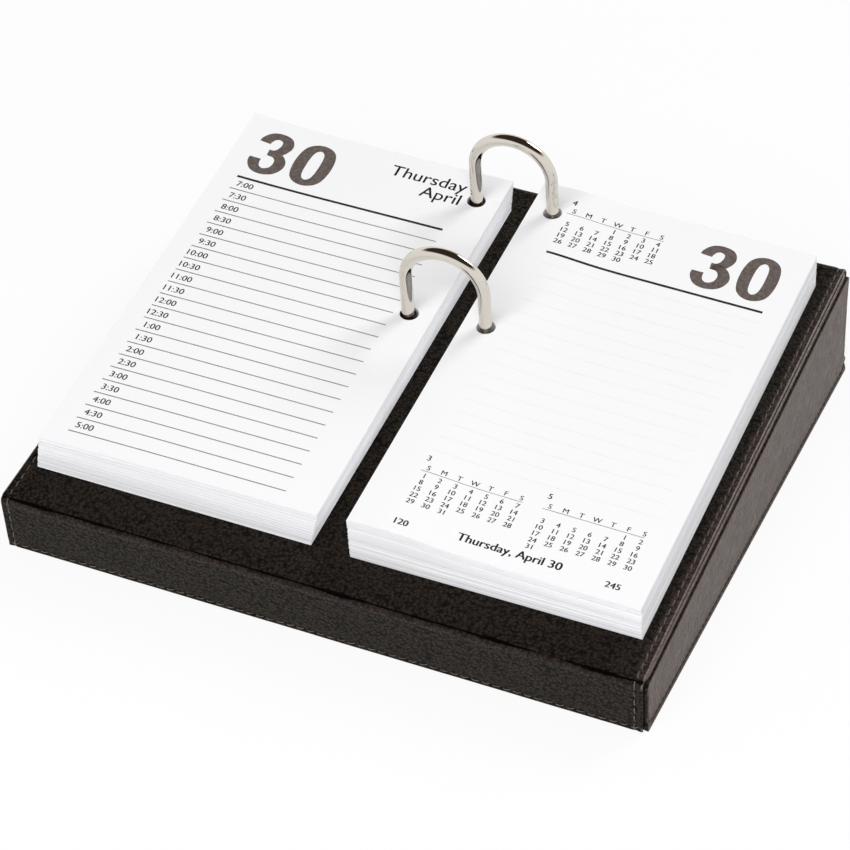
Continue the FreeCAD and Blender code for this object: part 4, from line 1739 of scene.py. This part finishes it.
def slab(flat: Array, faces: Faces, thickness: float) -> Shape:
    """Give a flat mesh thickness, with walls along every open edge.

    Args:
        flat: points (x, y).
        faces: anticlockwise faces.
        thickness: height of the slab, which stands on z = 0.

    Returns:
        Points and faces of the closed slab.
    """
    count = len(flat)
    directed = {(face[k], face[(k + 1) % len(face)]) for face in faces for k in range(len(face))}
    walls = [(a + count, b + count, b, a) for a, b in directed if (b, a) not in directed]
    under = [tuple(k + count for k in face[::-1]) for face in faces]
    points = np.concatenate([np.insert(flat, 2, thickness, 1), np.insert(flat, 2, 0.0, 1)])
    return points, [*faces, *under, *sorted(walls)]


@dataclass
class Typesetter:
    """Turns words and numbers into flat meshes, with each one made only once."""

    finish_parts: int = 3
    cap_height: float = 0.69
    made: dict[str, Shape] = field(default_factory=dict)

    def outline(self, words: str) -> Shape:
        """Flat mesh of some words, one unit high from base line to cap line.

        Args:
            words: what to set.

        Returns:
            Points (x, y) from the left end of the base line, and faces.
        """
        if words not in self.made:
            curve = bpy.data.curves.new("type", "FONT")
            curve.body = words
            curve.resolution_u = self.finish_parts
            shown = link_object("type", curve)
            mesh = evaluated_mesh(shown)
            points = np.array([tuple(v.co)[:2] for v in mesh.vertices])
            faces = [tuple(p.vertices)[:: 1 if p.normal.z > 0 else -1] for p in mesh.polygons]
            bpy.data.objects.remove(shown)
            bpy.data.curves.remove(curve)
            bpy.data.meshes.remove(mesh)
            points[:, 0] -= points[:, 0].min()
            self.made[words] = (points / self.cap_height, faces)
        return self.made[words]


FIGURE_BOX = (12.2, 19.4)
FIGURES: dict[str, tuple[tuple[tuple[float, float, float], ...], ...]] = {
    "0": (
        ((6.1, 1.35, 2.7), (9.3, 3.5, 3.6), (10.15, 9.7, 4.0), (9.3, 15.9, 3.6), (6.1, 18.05, 2.7),
         (2.9, 15.9, 3.6), (2.05, 9.7, 4.0), (2.9, 3.5, 3.6), (6.1, 1.35, 2.7)),
    ),
    "1": (
        ((7.6, 0.0, 3.9), (7.6, 9.7, 3.9), (7.6, 19.4, 3.9)),
        ((2.2, 4.9, 2.7), (4.9, 4.4, 2.7), (6.6, 1.4, 2.7)),
    ),
    "2": (
        ((2.0, 6.4, 3.7), (2.3, 4.2, 3.7), (3.7, 2.1, 3.3), (6.1, 1.35, 2.8), (8.9, 2.4, 3.4),
         (10.0, 5.2, 3.9), (8.9, 8.4, 3.7), (5.6, 11.8, 3.6), (3.2, 14.6, 3.6), (2.3, 17.0, 3.4)),
        ((0.6, 17.8, 3.2), (6.0, 17.8, 3.2), (11.9, 17.8, 3.2)),
    ),
    "3": (
        ((2.0, 5.4, 3.7), (2.2, 4.1, 3.7), (3.6, 2.1, 3.3), (5.9, 1.35, 2.8), (8.5, 2.3, 3.4),
         (9.4, 4.8, 3.8), (8.4, 7.7, 3.3), (6.6, 9.1, 2.7), (4.7, 9.35, 2.7)),
        ((5.4, 9.35, 2.7), (7.4, 9.6, 2.8), (9.3, 11.0, 3.4), (10.2, 13.7, 3.9), (9.0, 16.7, 3.4),
         (6.0, 18.05, 2.7), (3.3, 17.1, 3.2), (2.0, 14.7, 3.8), (1.9, 12.9, 3.8)),
    ),
    "9": (
        ((5.9, 1.35, 2.8), (9.2, 3.2, 3.6), (10.1, 6.6, 3.8), (8.9, 10.2, 3.3), (5.8, 11.4, 2.7),
         (2.9, 10.0, 3.5), (2.0, 6.5, 3.9), (3.0, 2.9, 3.5), (5.9, 1.35, 2.8)),
        ((10.15, 6.6, 3.9), (10.0, 11.5, 3.9), (8.6, 16.3, 3.6), (5.7, 18.05, 2.8), (3.2, 17.1, 3.2),
         (2.2, 15.0, 3.6)),
    ),
}


def broad_stroke(stations: Array, closed: bool, parts: int = 6) -> Shape:
    """Smooth flat stroke whose width changes along its way.

    Args:
        stations: a, b and width of each station; the last repeats the first in a closed stroke.
        closed: whether the ends join.
        parts: steps from station to station.

    Returns:
        Points (a, b) and faces, anticlockwise with b pointing down.
    """
    if closed:
        padded = np.concatenate([stations[-2:-1], stations, stations[1:2]])
    else:
        first, last = 2 * stations[0] - stations[1], 2 * stations[-1] - stations[-2]
        padded = np.concatenate([[first], stations, [last]])
    rows: list[Array] = []
    for k in range(1, len(padded) - 2):
        before, start, stop, after = padded[k - 1 : k + 3]
        for t in np.arange(parts) / parts:
            rows.append(0.5 * (
                2 * start + (stop - before) * t + (2 * before - 5 * start + 4 * stop - after) * t**2
                + (3 * start - before - 3 * stop + after) * t**3))
    rows.append(padded[-2])
    line = np.array(rows)
    way = np.gradient(line[:, :2], axis=0)
    if closed:
        way[0] = way[-1] = line[1, :2] - line[-2, :2]
    way /= np.linalg.norm(way, axis=1, keepdims=True)
    side = np.stack([-way[:, 1], way[:, 0]], 1) * line[:, 2:] / 2
    points = np.concatenate([line[:, :2] + side, line[:, :2] - side])
    count = len(line)
    return points, [(k, k + 1, count + k + 1, count + k) for k in range(count - 1)]


@dataclass
class PrintedPage:
    """Ink of one side of a sheet, in page millimetres: a from the left edge, b down from the top."""

    layout: Layout
    width: float
    length: float
    type_case: Typesetter
    first_line: float = 34.2
    line_pitch: float = 5.63
    line_weight: float = 0.35
    heavy_weight: float = 0.92
    day_pitch: float = 4.77
    day_start: float = 1.9
    inks: tuple[Finish, ...] = (BLACK_INK, NUMERAL_INK, RULE_INK, GHOST_INK)
    points: list[tuple[float, ...]] = field(default_factory=list)
    faces: Faces = field(default_factory=list)
    ink_of_face: list[int] = field(default_factory=list)

    def lay(self, points: Array, faces: Faces, ink: Finish) -> None:
        """Add a flat mesh, whose faces are anticlockwise with b pointing down."""
        self.faces += [tuple(k + len(self.points) for k in face) for face in faces]
        self.points += [tuple(p) for p in points]
        self.ink_of_face += [self.inks.index(ink)] * len(faces)

    def set_type(self, words: str, a: float, base: float, height: float, align: Align = Align.LEFT,
                 weight: float = 0.0) -> None:
        """Set a line of type.

        Args:
            words: what to set.
            a: place of the line's left end, middle or right end.
            base: b of the base line.
            height: height of a capital.
            align: which part of the line stands at a.
            weight: how far apart it is printed twice, as a share of its height, to make it bolder.
        """
        outline, faces = self.type_case.outline(words)
        start = a - align.value * outline[:, 0].max() * height
        for shift in (-weight / 2, weight / 2) if weight else (0.0,):
            x = start + (outline[:, 0] + shift) * height
            self.lay(np.stack([x, base - outline[:, 1] * height], 1), faces, BLACK_INK)

    def figure(self, digit: str, box: tuple[float, float, float, float]) -> None:
        """Draw a big figure as a few broad strokes.

        Args:
            digit: the figure.
            box: least a, least b, greatest a and greatest b.
        """
        low, size = np.array(box[:2]), np.array(box[2:]) - np.array(box[:2])
        scale = size / np.array(FIGURE_BOX)
        for stroke in FIGURES[digit]:
            points, faces = broad_stroke(np.array(stroke), closed=stroke[0] == stroke[-1])
            self.lay(low + points * scale, faces, NUMERAL_INK)

    def rule(self, a: tuple[float, float], b: float, weight: float, ink: Finish, step: float = 2.4) -> None:
        """Draw a level line.

        Args:
            a: its two ends.
            b: its middle.
            weight: its thickness.
            ink: what it is printed in.
            step: length of its pieces, short enough to follow the paper's curve.
        """
        parts = max(1, math.ceil((a[1] - a[0]) / step))
        along = np.linspace(a[0], a[1], parts + 1)
        points = [(x, b + half) for x in along for half in (weight / 2, -weight / 2)]
        self.lay(np.array(points), [(2 * k, 2 * k + 2, 2 * k + 3, 2 * k + 1) for k in range(parts)], ink)

    def month(self, heading: str, offset: int, days: int, a: float, top: float, drop: float,
              height: float, right: float) -> None:
        """Set a small month: heading, initials of the days, a rule and the numbered days.

        Args:
            heading: name or number of the month.
            offset: columns left empty in the first week, from Sunday.
            days: number of days.
            a: left edge.
            top: b of the heading's base line.
            drop: distance from row to row.
            height: height of the figures.
            right: right end of the rule.
        """
        self.set_type(heading, a, top, height * 1.15, weight=0.05)
        for k, initial in enumerate("SMTWTFS"):
            place = a + self.day_start + self.day_pitch * k
            self.set_type(initial, place, top + 3.5, height, Align.CENTRE, weight=0.04)
        self.rule((a, right), top + 4.1, 0.16, BLACK_INK)
        for day in range(1, days + 1):
            week, column = divmod(offset + day - 1, 7)
            base = top + 5.9 + height / 2 + drop * week
            place = a + self.day_start + self.day_pitch * column
            self.set_type(str(day), place, base, height, Align.CENTRE, weight=0.05)

    def compose_hours(self, day: int, weekday: str, month: str) -> None:
        """Left-hand layout: day and month at the top, and a ruled line for each half hour.

        Args:
            day: number of the day, in two figures.
            weekday: name of the day, or nothing.
            month: name of the month, or nothing.
        """
        for figure, left, right in zip(f"{day:02d}", (6.6, 20.6), (18.8, 33.2)):
            self.figure(figure, (left, 5.6, right, 25.0))
        if weekday:
            self.set_type(weekday, 76.5, 10.4, 4.7, Align.RIGHT, weight=0.02)
            self.set_type(month, 76.5, 16.4, 4.7, Align.RIGHT, weight=0.02)
        self.rule((6.8, 76.6), 28.5, self.heavy_weight, BLACK_INK)
        for k in range(21):
            hour = (6 + k // 2) % 12 + 1
            words = f"{hour}:{'30' if k % 2 else '00'}"
            self.set_type(words, 13.6, 32.65 + 5.62 * k, 2.3, Align.RIGHT, weight=0.04)
            self.rule((6.8, 76.7), self.first_line + self.line_pitch * k, self.line_weight, RULE_INK)

    def compose_notes(self, day: int, dated: bool, heading: str, date_line: str) -> None:
        """Right-hand layout: small months, the day, and room for notes.

        Args:
            day: number of the day, in two figures.
            dated: whether the small months and the date line are set.
            heading: heading of the small month at the top.
            date_line: words at the foot.
        """
        for figure, left, right in zip(f"{day:02d}", (55.6, 69.8), (67.8, 81.8)):
            self.figure(figure, (left, 6.5, right, 26.0))
        self.rule((12.2, 81.6), 29.4, self.heavy_weight, BLACK_INK)
        if dated:
            self.month(heading, 3, 30, 11.8, 7.0, 2.72, 1.9, 43.5)
            self.month("3", 0, 31, 12.3, 123.2, 2.6, 1.75, 43.6)
            self.month("5", 5, 31, 49.6, 123.2, 2.6, 1.75, 80.5)
            self.set_type(date_line, 47.2, 147.4, 2.9, Align.CENTRE, weight=0.08)
            self.set_type("120", 13.0, 148.9, 2.2, weight=0.08)
            self.set_type("245", 80.8, 148.3, 2.2, Align.RIGHT, weight=0.08)
        for k in range(16):
            self.rule((12.2, 81.8), self.first_line + self.line_pitch * k, self.line_weight, GHOST_INK)

    def build(self, deck: Deck, name: str, surface: PageSurface, above: float, body: str) -> Object:
        """Lay the ink on a page of the pile.

        Args:
            deck: the deck that the surface is measured on.
            name: the piece's name.
            surface: shape of the pile's top.
            above: height of the ink above the pile's top.
            body: body that the print rides on.

        Returns:
            The piece.
        """
        page = np.array(self.points)
        out = self.width - page[:, 0] if self.layout is Layout.HOURS else page[:, 0]
        points = surface.place(out, page[:, 1], above)
        piece = seat_piece(deck, name, points, self.faces, self.inks[0], smooth=False)
        for ink in self.inks[1:]:
            piece.data.materials.append(ink.material())
        piece.data.polygons.foreach_set("material_index", self.ink_of_face)
        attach(piece, body)
        return piece


@dataclass
class PageStack:
    """The pages of one side: a pile of punched sheets, the leaf on top, and their print."""

    deck: Deck
    side: Side
    lie: PageLie
    type_case: Typesetter
    count: int = 72
    sheet_share: float = 0.9
    hole_radius: float = 3.1
    leaf_hole_radius: float = 2.95
    leaf_thickness: float = 0.12
    leaf_gap: float = 0.055
    ink_lift: float = 0.025
    scatter: float = 0.035
    wander: float = 0.5
    hole_square: float = 5.0

    @property
    def cad(self) -> Span:
        """Span of the block of pages in the CAD model."""
        return self.deck.span(f"{self.side.label}_pages")

    def surface(self) -> PageSurface:
        """Shape of the pile's top, from the CAD block and its posts.

        Returns:
            The surface.
        """
        cad = self.cad
        rear = self.deck.span(f"rear_{self.side.label}_post").middle
        front = self.deck.span(f"front_{self.side.label}_post").middle
        binding = cad.low[0] if self.side is Side.RIGHT else cad.high[0]
        width, length = float(cad.size[0]), float(cad.size[1])
        outer = self.deck.top_at(f"{self.side.label}_pages", binding + self.side.value * width)
        fall = math.atan((cad.high[2] - outer) / width)
        inset, middle = float(abs(rear[0] - binding)), float(rear[1] + front[1]) / 2
        height = float(cad.high[2]) - inset * math.tan(fall)
        return PageSurface(
            self.side, width, length, inset, (float(rear[0]), middle), float(cad.high[1]) - middle, height,
            fall, self.lie)

    def sheet(self, out: Array, back: Array, radius: float, sides: int, thickness: float) -> Shape:
        """One punched sheet, measured from the middle of its two holes.

        Args:
            out: distances of its columns from the binding edge.
            back: distances of its rows from the rear edge.
            radius: radius of its holes.
            sides: sides of each hole.
            thickness: thickness of the sheet.

        Returns:
            Points and faces of the closed sheet.
        """
        surface = self.surface()
        apart = float(self.deck.span(f"rear_{self.side.label}_post").middle[1]) - surface.hole_place[1]
        at_holes = np.array([-self.hole_square, 0.0, self.hole_square])
        columns = merged(self.side.value * (out - surface.hole_inset), at_holes)
        rows = merged(surface.rear_edge - back, np.concatenate([at_holes + apart, at_holes - apart]))
        flat, faces = punched_sheet(columns, rows, (apart, -apart), radius, self.hole_square, sides)
        return slab(flat, faces, thickness)

    def build_pile(self) -> Object:
        """Stack the sheets.

        Returns:
            The pile.
        """
        surface, lie = self.surface(), self.lie
        out = np.array([0, 8, 17, 22, 28, 35, 43, 50, *np.linspace(54.5, surface.width, 9)])
        back = np.array([0, 7, 14, 21, 29, 38, 53, 75, 95, 112, 127, 140, surface.length])
        thickness = surface.height / self.count * self.sheet_share
        points, faces = self.sheet(out, back, self.hole_radius, 16, thickness)
        values = {key.replace("_", " ").title(): value for key, value in asdict(lie).items()} | {
            "Bottom Turn": math.radians(lie.bottom_turn), "Top Turn": math.radians(lie.top_turn),
            "Turn Seed": lie.seed + 11, "Shade Seed": lie.seed + 23,
            "Count": self.count, "Height": surface.height - thickness, "Fall": self.side.value * surface.fall,
            "Scatter": self.scatter, "Wander": self.wander, "Outward": float(self.side.value),
            "Hole Inset": surface.hole_inset, "Rear Edge": surface.rear_edge,
            "Length": surface.length, "Width": surface.width,
        }
        name = f"{self.side.label}_page_pile"
        return SheetPile().grow(self.deck, name, points, [], faces, values, PAPER,
                                at=(*surface.hole_place, 0.0))

    def build_leaf(self) -> Object:
        """Make the leaf that lies on the pile.

        Returns:
            The leaf.
        """
        surface = self.surface()
        out = np.concatenate([np.linspace(0, 40, 20), np.linspace(43, surface.width, 15)])
        back = np.linspace(0, surface.length, 37)
        points, faces = self.sheet(out, back, self.leaf_hole_radius, 32, self.leaf_thickness)
        from_binding = self.side.value * points[:, 0] + surface.hole_inset
        placed = surface.place(from_binding, surface.rear_edge - points[:, 1], self.leaf_gap + points[:, 2])
        leaf = seat_piece(self.deck, f"{self.side.label}_top_leaf", placed, faces, PAPER)
        leaf.data.set_sharp_from_angle(angle=math.radians(40))
        return leaf

    def dress(self, pile: Object, leaf: Object) -> list[Object]:
        """Let the paper stand for the CAD solids, and print it.

        Args:
            pile: the pile of sheets.
            leaf: the leaf on top.

        Returns:
            The three prints.
        """
        name = self.side.label
        for piece, node in ((pile, f"{name}_pages"), (leaf, f"{name}_leaf")):
            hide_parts(node)
            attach(piece, node)
        left = self.side is Side.LEFT
        face_up, face_down = (Layout.HOURS, Layout.NOTES) if left else (Layout.NOTES, Layout.HOURS)
        today, other_day = 30, 29 if left else 1
        gap, lift = self.leaf_gap, self.ink_lift
        return [self.print_page(*sheet) for sheet in (
            (f"{name}_leaf_print", face_up, today, True, gap + self.leaf_thickness + lift, f"{name}_leaf"),
            (f"{name}_leaf_underprint", face_down, other_day, False, gap - lift, f"{name}_leaf"),
            (f"{name}_pile_print", face_up, other_day, False, gap + 0.5 * lift, f"{name}_pages"),
        )]

    def print_page(self, name: str, layout: Layout, day: int, dated: bool, above: float, body: str) -> Object:
        """Print one side of a sheet.

        Args:
            name: the piece's name.
            layout: which of the two layouts it has.
            day: number of the day.
            dated: whether it has its words and small months.
            above: height of the ink above the pile's top.
            body: body that the print rides on.

        Returns:
            The print.
        """
        surface = self.surface()
        page = PrintedPage(layout, surface.width, surface.length, self.type_case)
        if layout is Layout.HOURS:
            page.compose_hours(day, "Thursday" if dated else "", "April" if dated else "")
        else:
            page.compose_notes(day, dated, "4", "Thursday, April 30")
        return page.build(self.deck, name, surface, above, body)


def merged(places: Array, fixed: Array, least: float = 0.9) -> Array:
    """Sort grid lines and drop those closer than least to a fixed one, or repeated."""
    free = [p for p in places if np.min(np.abs(fixed - p)) > least]
    return np.unique(np.round(np.concatenate([free, fixed]), 6))


# ---- metal and carried nodes


@dataclass
class WireArch:
    """Bent wire that the pages turn over."""

    deck: Deck
    name: str
    sides: int = 28
    arc_parts: int = 64

    def build(self) -> Object:
        """Sweep the wire up one leg, around the crown and down the other.

        Returns:
            The arch.
        """
        cad = self.deck.span(self.name)
        radius = float(cad.size[1]) / 2
        half = cad.size[0] / 2 - radius
        spring, foot = cad.high[2] - radius - half, cad.low[2]
        crown = [(half * math.cos(t), spring + half * math.sin(t))
                 for t in np.linspace(math.pi, 0, self.arc_parts + 1)]
        line = ((-half, foot), *crown, (half, foot))
        path = np.array([(cad.middle[0] + x, cad.middle[1], n) for x, n in line])
        edges = [(k, k + 1) for k in range(len(path) - 1)]
        values = {"Wire Radius": radius, "Sides": self.sides}
        return BentWire().grow(self.deck, f"{self.name}_wire", path, edges, [], values, NICKEL)

    def dress(self, piece: Object) -> None:
        """Let the wire stand for the CAD arch and ride with it."""
        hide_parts(self.name)
        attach(piece, self.name)


@dataclass(frozen=True)
class CarriedParts:
    """CAD parts that keep their shape and only get a finish."""

    deck: Deck

    def dress(self) -> int:
        """Give each of these nodes its finish.

        Returns:
            Number of nodes dressed.
        """
        finishes: dict[Finish, tuple[str, ...]] = {
            FIBREBOARD: ("top_board", "bottom_board", "front_board", "rear_board", "left_side_board",
                         "drawer_stop"),
            STAINED_BOARD: ("drawer_floor", "drawer_front_wall", "drawer_rear_wall", "drawer_back_wall"),
            FELT: ("bottom_felt",),
            ZINC: ("arch_plate", "plate_screws", "bottom_screws"),
            # posts in the brown-black finish, painted shade of the page holes
            POST_NICKEL_SHADED: tuple(f"{end}_{side.label}_post" for end in ("front", "rear") for side in Side),
        }
        count = 0
        for finish, nodes in finishes.items():
            for node in nodes:
                for slot in self.deck.nodes[node].material_slots:
                    slot.link = "OBJECT"
                    slot.material = finish.material()
                count += 1
        return count


# ---- studio


def area_lamp(name: str, size: tuple[float, float], watts: float) -> Object:
    """Hang a rectangular lamp at the origin, facing down.

    Args:
        name: the lamp's name.
        size: its two sides in metres.
        watts: its power.

    Returns:
        The lamp.
    """
    light = bpy.data.lights.new(name, "AREA")
    light.shape = "RECTANGLE"
    light.size, light.size_y = size
    light.energy = watts
    return link_object(name, light)


def aim_object(thing: Object, target: Vector, azimuth: float, elevation: float, distance: float) -> None:
    """Set a lamp or camera at a bearing and height around a target, and aim it there.

    Args:
        thing: the lamp or camera.
        target: what it is pointed at.
        azimuth: degrees from the front towards the right.
        elevation: degrees above the level.
        distance: metres from the target.
    """
    a, e = math.radians(azimuth), math.radians(elevation)
    toward = Vector((math.sin(a) * math.cos(e), -math.cos(a) * math.cos(e), math.sin(e)))
    thing.location = target + toward * distance
    thing.rotation_euler = (-toward).to_track_quat("-Z", "Y").to_euler()


@dataclass(frozen=True)
class Softbox:
    """Rectangular lamp at a bearing and height around the calendar, aimed at it."""

    name: str
    azimuth: float
    elevation: float
    distance: float
    size: tuple[float, float]
    watts: float
    mirrored: bool = True

    def hang(self, aim: Vector) -> None:
        """Put the lamp in place, pointed at aim."""
        lamp = area_lamp(self.name, self.size, self.watts)
        aim_object(lamp, aim, self.azimuth, self.elevation, self.distance)
        lamp.visible_glossy = self.mirrored


@dataclass
class GapLamp:
    """Slim lamp between the page piles, for the light that the paper scatters into the gap."""

    deck: Deck
    length: float = 150.0
    width: float = 9.0
    place: tuple[float, float, float] = (4.7, 91.0, 7.5)
    watts: float = 0.0045

    def hang(self) -> None:
        """Put the lamp beside the right pile, facing the left one."""
        lamp = area_lamp("gap_lamp", (self.length * MM, self.width * MM), self.watts)
        x, u, n = self.place
        right = Vector((1.0, 0.0, 0.0))
        seat = self.deck.origin + MM * (x * right + u * self.deck.along + n * self.deck.normal)
        turned = Matrix([self.deck.along, self.deck.normal, right]).transposed()
        lamp.matrix_world = Matrix.Translation(seat) @ turned.to_4x4()
        lamp.visible_camera = lamp.visible_glossy = False


@dataclass
class Studio:
    """White sweep, soft light and camera."""

    target: Vector
    azimuth: float = 23.40
    elevation: float = 39.15
    distance: float = 1.0515
    lens: float = 143.39
    shift: tuple[float, float] = (0.0025, -0.0004)
    ambient: float = 0.31
    ceiling_light: float = 0.06
    ceiling_hue: str = "#c9aa94"
    floor_half: float = 6.0
    softboxes: tuple[Softbox, ...] = (
        Softbox("front_softbox", 4.0, 40.0, 1.6, (1.5, 0.9), 20.5, mirrored=False),
        Softbox("key_softbox", 148.0, 42.0, 1.5, (0.6, 0.6), 8.0),
    )

    def build_floor(self) -> None:
        """Make the white floor."""
        half = self.floor_half
        mesh = bpy.data.meshes.new("floor")
        mesh.from_pydata([(-half, -half, 0), (half, -half, 0), (half, half, 0), (-half, half, 0)], [],
                         [(0, 1, 2, 3)])
        mesh.materials.append(FLOOR_WHITE.material())
        floor = link_object("floor", mesh)
        floor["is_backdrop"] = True

    def build_camera(self) -> None:
        """Aim the camera."""
        data = bpy.data.cameras.new("camera")
        data.sensor_width = 36.0
        data.lens = self.lens
        data.shift_x, data.shift_y = self.shift
        camera = link_object("camera", data)
        aim_object(camera, self.target, self.azimuth, self.elevation, self.distance)
        bpy.context.scene.camera = camera

    def build_world(self) -> None:
        """Even light all round; mirrors see a white horizon under a darker ceiling."""
        world = bpy.data.worlds.new("studio")
        bpy.context.scene.world = world
        world.use_nodes = True
        world.node_tree.nodes.clear()
        add = partial(add_node, world.node_tree)
        rays = add("ShaderNodeLightPath").outputs
        seen = add("ShaderNodeSeparateXYZ", links={0: add("ShaderNodeTexCoord").outputs["Generated"]})
        ceiling = add(
            "ShaderNodeMapRange",
            {"interpolation_type": "SMOOTHSTEP", "From Min": 0.42, "From Max": 0.66, "To Min": 1.0,
             "To Max": self.ceiling_light}, {"Value": seen.outputs["Z"]})
        level = add(
            "ShaderNodeMix", {"data_type": "FLOAT", 2: self.ambient}, {0: rays["Is Glossy Ray"], 3: ceiling})
        level = add("ShaderNodeMix", {"data_type": "FLOAT", 3: 1.0}, {0: rays["Is Camera Ray"], 2: level})
        plain = add("ShaderNodeMath", {"operation": "SUBTRACT", 0: 1.0}, {1: rays["Is Glossy Ray"]})
        white = add("ShaderNodeMath", {"operation": "MAXIMUM"}, {0: ceiling, 1: plain})
        hue = add(
            "ShaderNodeMix", {"data_type": "RGBA", 6: linear(self.ceiling_hue), 7: (1, 1, 1, 1)}, {0: white})
        light = add("ShaderNodeBackground", links={"Color": hue.outputs[2], "Strength": level})
        add("ShaderNodeOutputWorld", links={"Surface": light})

    def build(self) -> None:
        """Set up the floor, light, world and camera."""
        self.build_floor()
        self.build_world()
        for softbox in self.softboxes:
            softbox.hang(self.target)
        self.build_camera()
        bpy.context.scene.view_settings.view_transform = "Standard"


def corners(box: tuple[Vector, Vector]) -> list[list[float]]:
    """Plain numbers of a box's lowest and highest corners."""
    return [[float(value) for value in corner] for corner in box]


def main() -> None:
    """Build the calendar on its frame, then the studio, and measure both boxes."""
    logging.basicConfig(level=logging.INFO, format="%(message)s")
    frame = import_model()
    cad_box = corners(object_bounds())
    deck = Deck.from_frame(frame)
    wrap = LeatherWrap(deck)
    leather = wrap.build()
    LOG.info("leather wrap: %d pieces, %d stitched rows", len(leather), len(wrap.dress(leather)))
    for side in Side:
        bead = EdgeBead(deck, side, wrap)
        bead.dress(bead.build())
    for panel in (
        SidePanel(deck, Side.LEFT, "left_side_panel", ("left_side_cover",), "base"),
        SidePanel(deck, Side.RIGHT, "drawer_panel", ("drawer_face", "drawer_front"), "drawer",
                  head_lift=1.05, lip=0.8),
    ):
        LOG.info("%s: %s", panel.name, panel.dress(panel.build()).name)
    for part in (DrawerMouth(deck), DrawerLining(deck)):
        part.dress(part.build())
    case = Typesetter()
    lies = {
        Side.LEFT: PageLie(0.0, 0.65, -1.6, 0.1, 1.85, 0.45, 0.0, 1.8, -0.6, seed=4),
        Side.RIGHT: PageLie(0.25, 0.2, 0.0, 0.0, 0.0, 0.0, 1.2, 0.04, 0.25, seed=9),
    }
    for side, lie in lies.items():
        stack = PageStack(deck, side, lie, case)
        prints = stack.dress(stack.build_pile(), stack.build_leaf())
        LOG.info("%s pages: %s", side.label, ", ".join(piece.name for piece in prints))
    for name in ("front_arch", "rear_arch"):
        arch = WireArch(deck, name)
        arch.dress(arch.build())
        LOG.info("%s", name)
    LOG.info("carried parts: %d", CarriedParts(deck).dress())
    GapLamp(deck).hang()
    Studio(Vector((-0.010475, 0.011638, 0.0))).build()
    {"cad": cad_box, "visual": corners(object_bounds())}


if __name__ == "__main__":
    main()
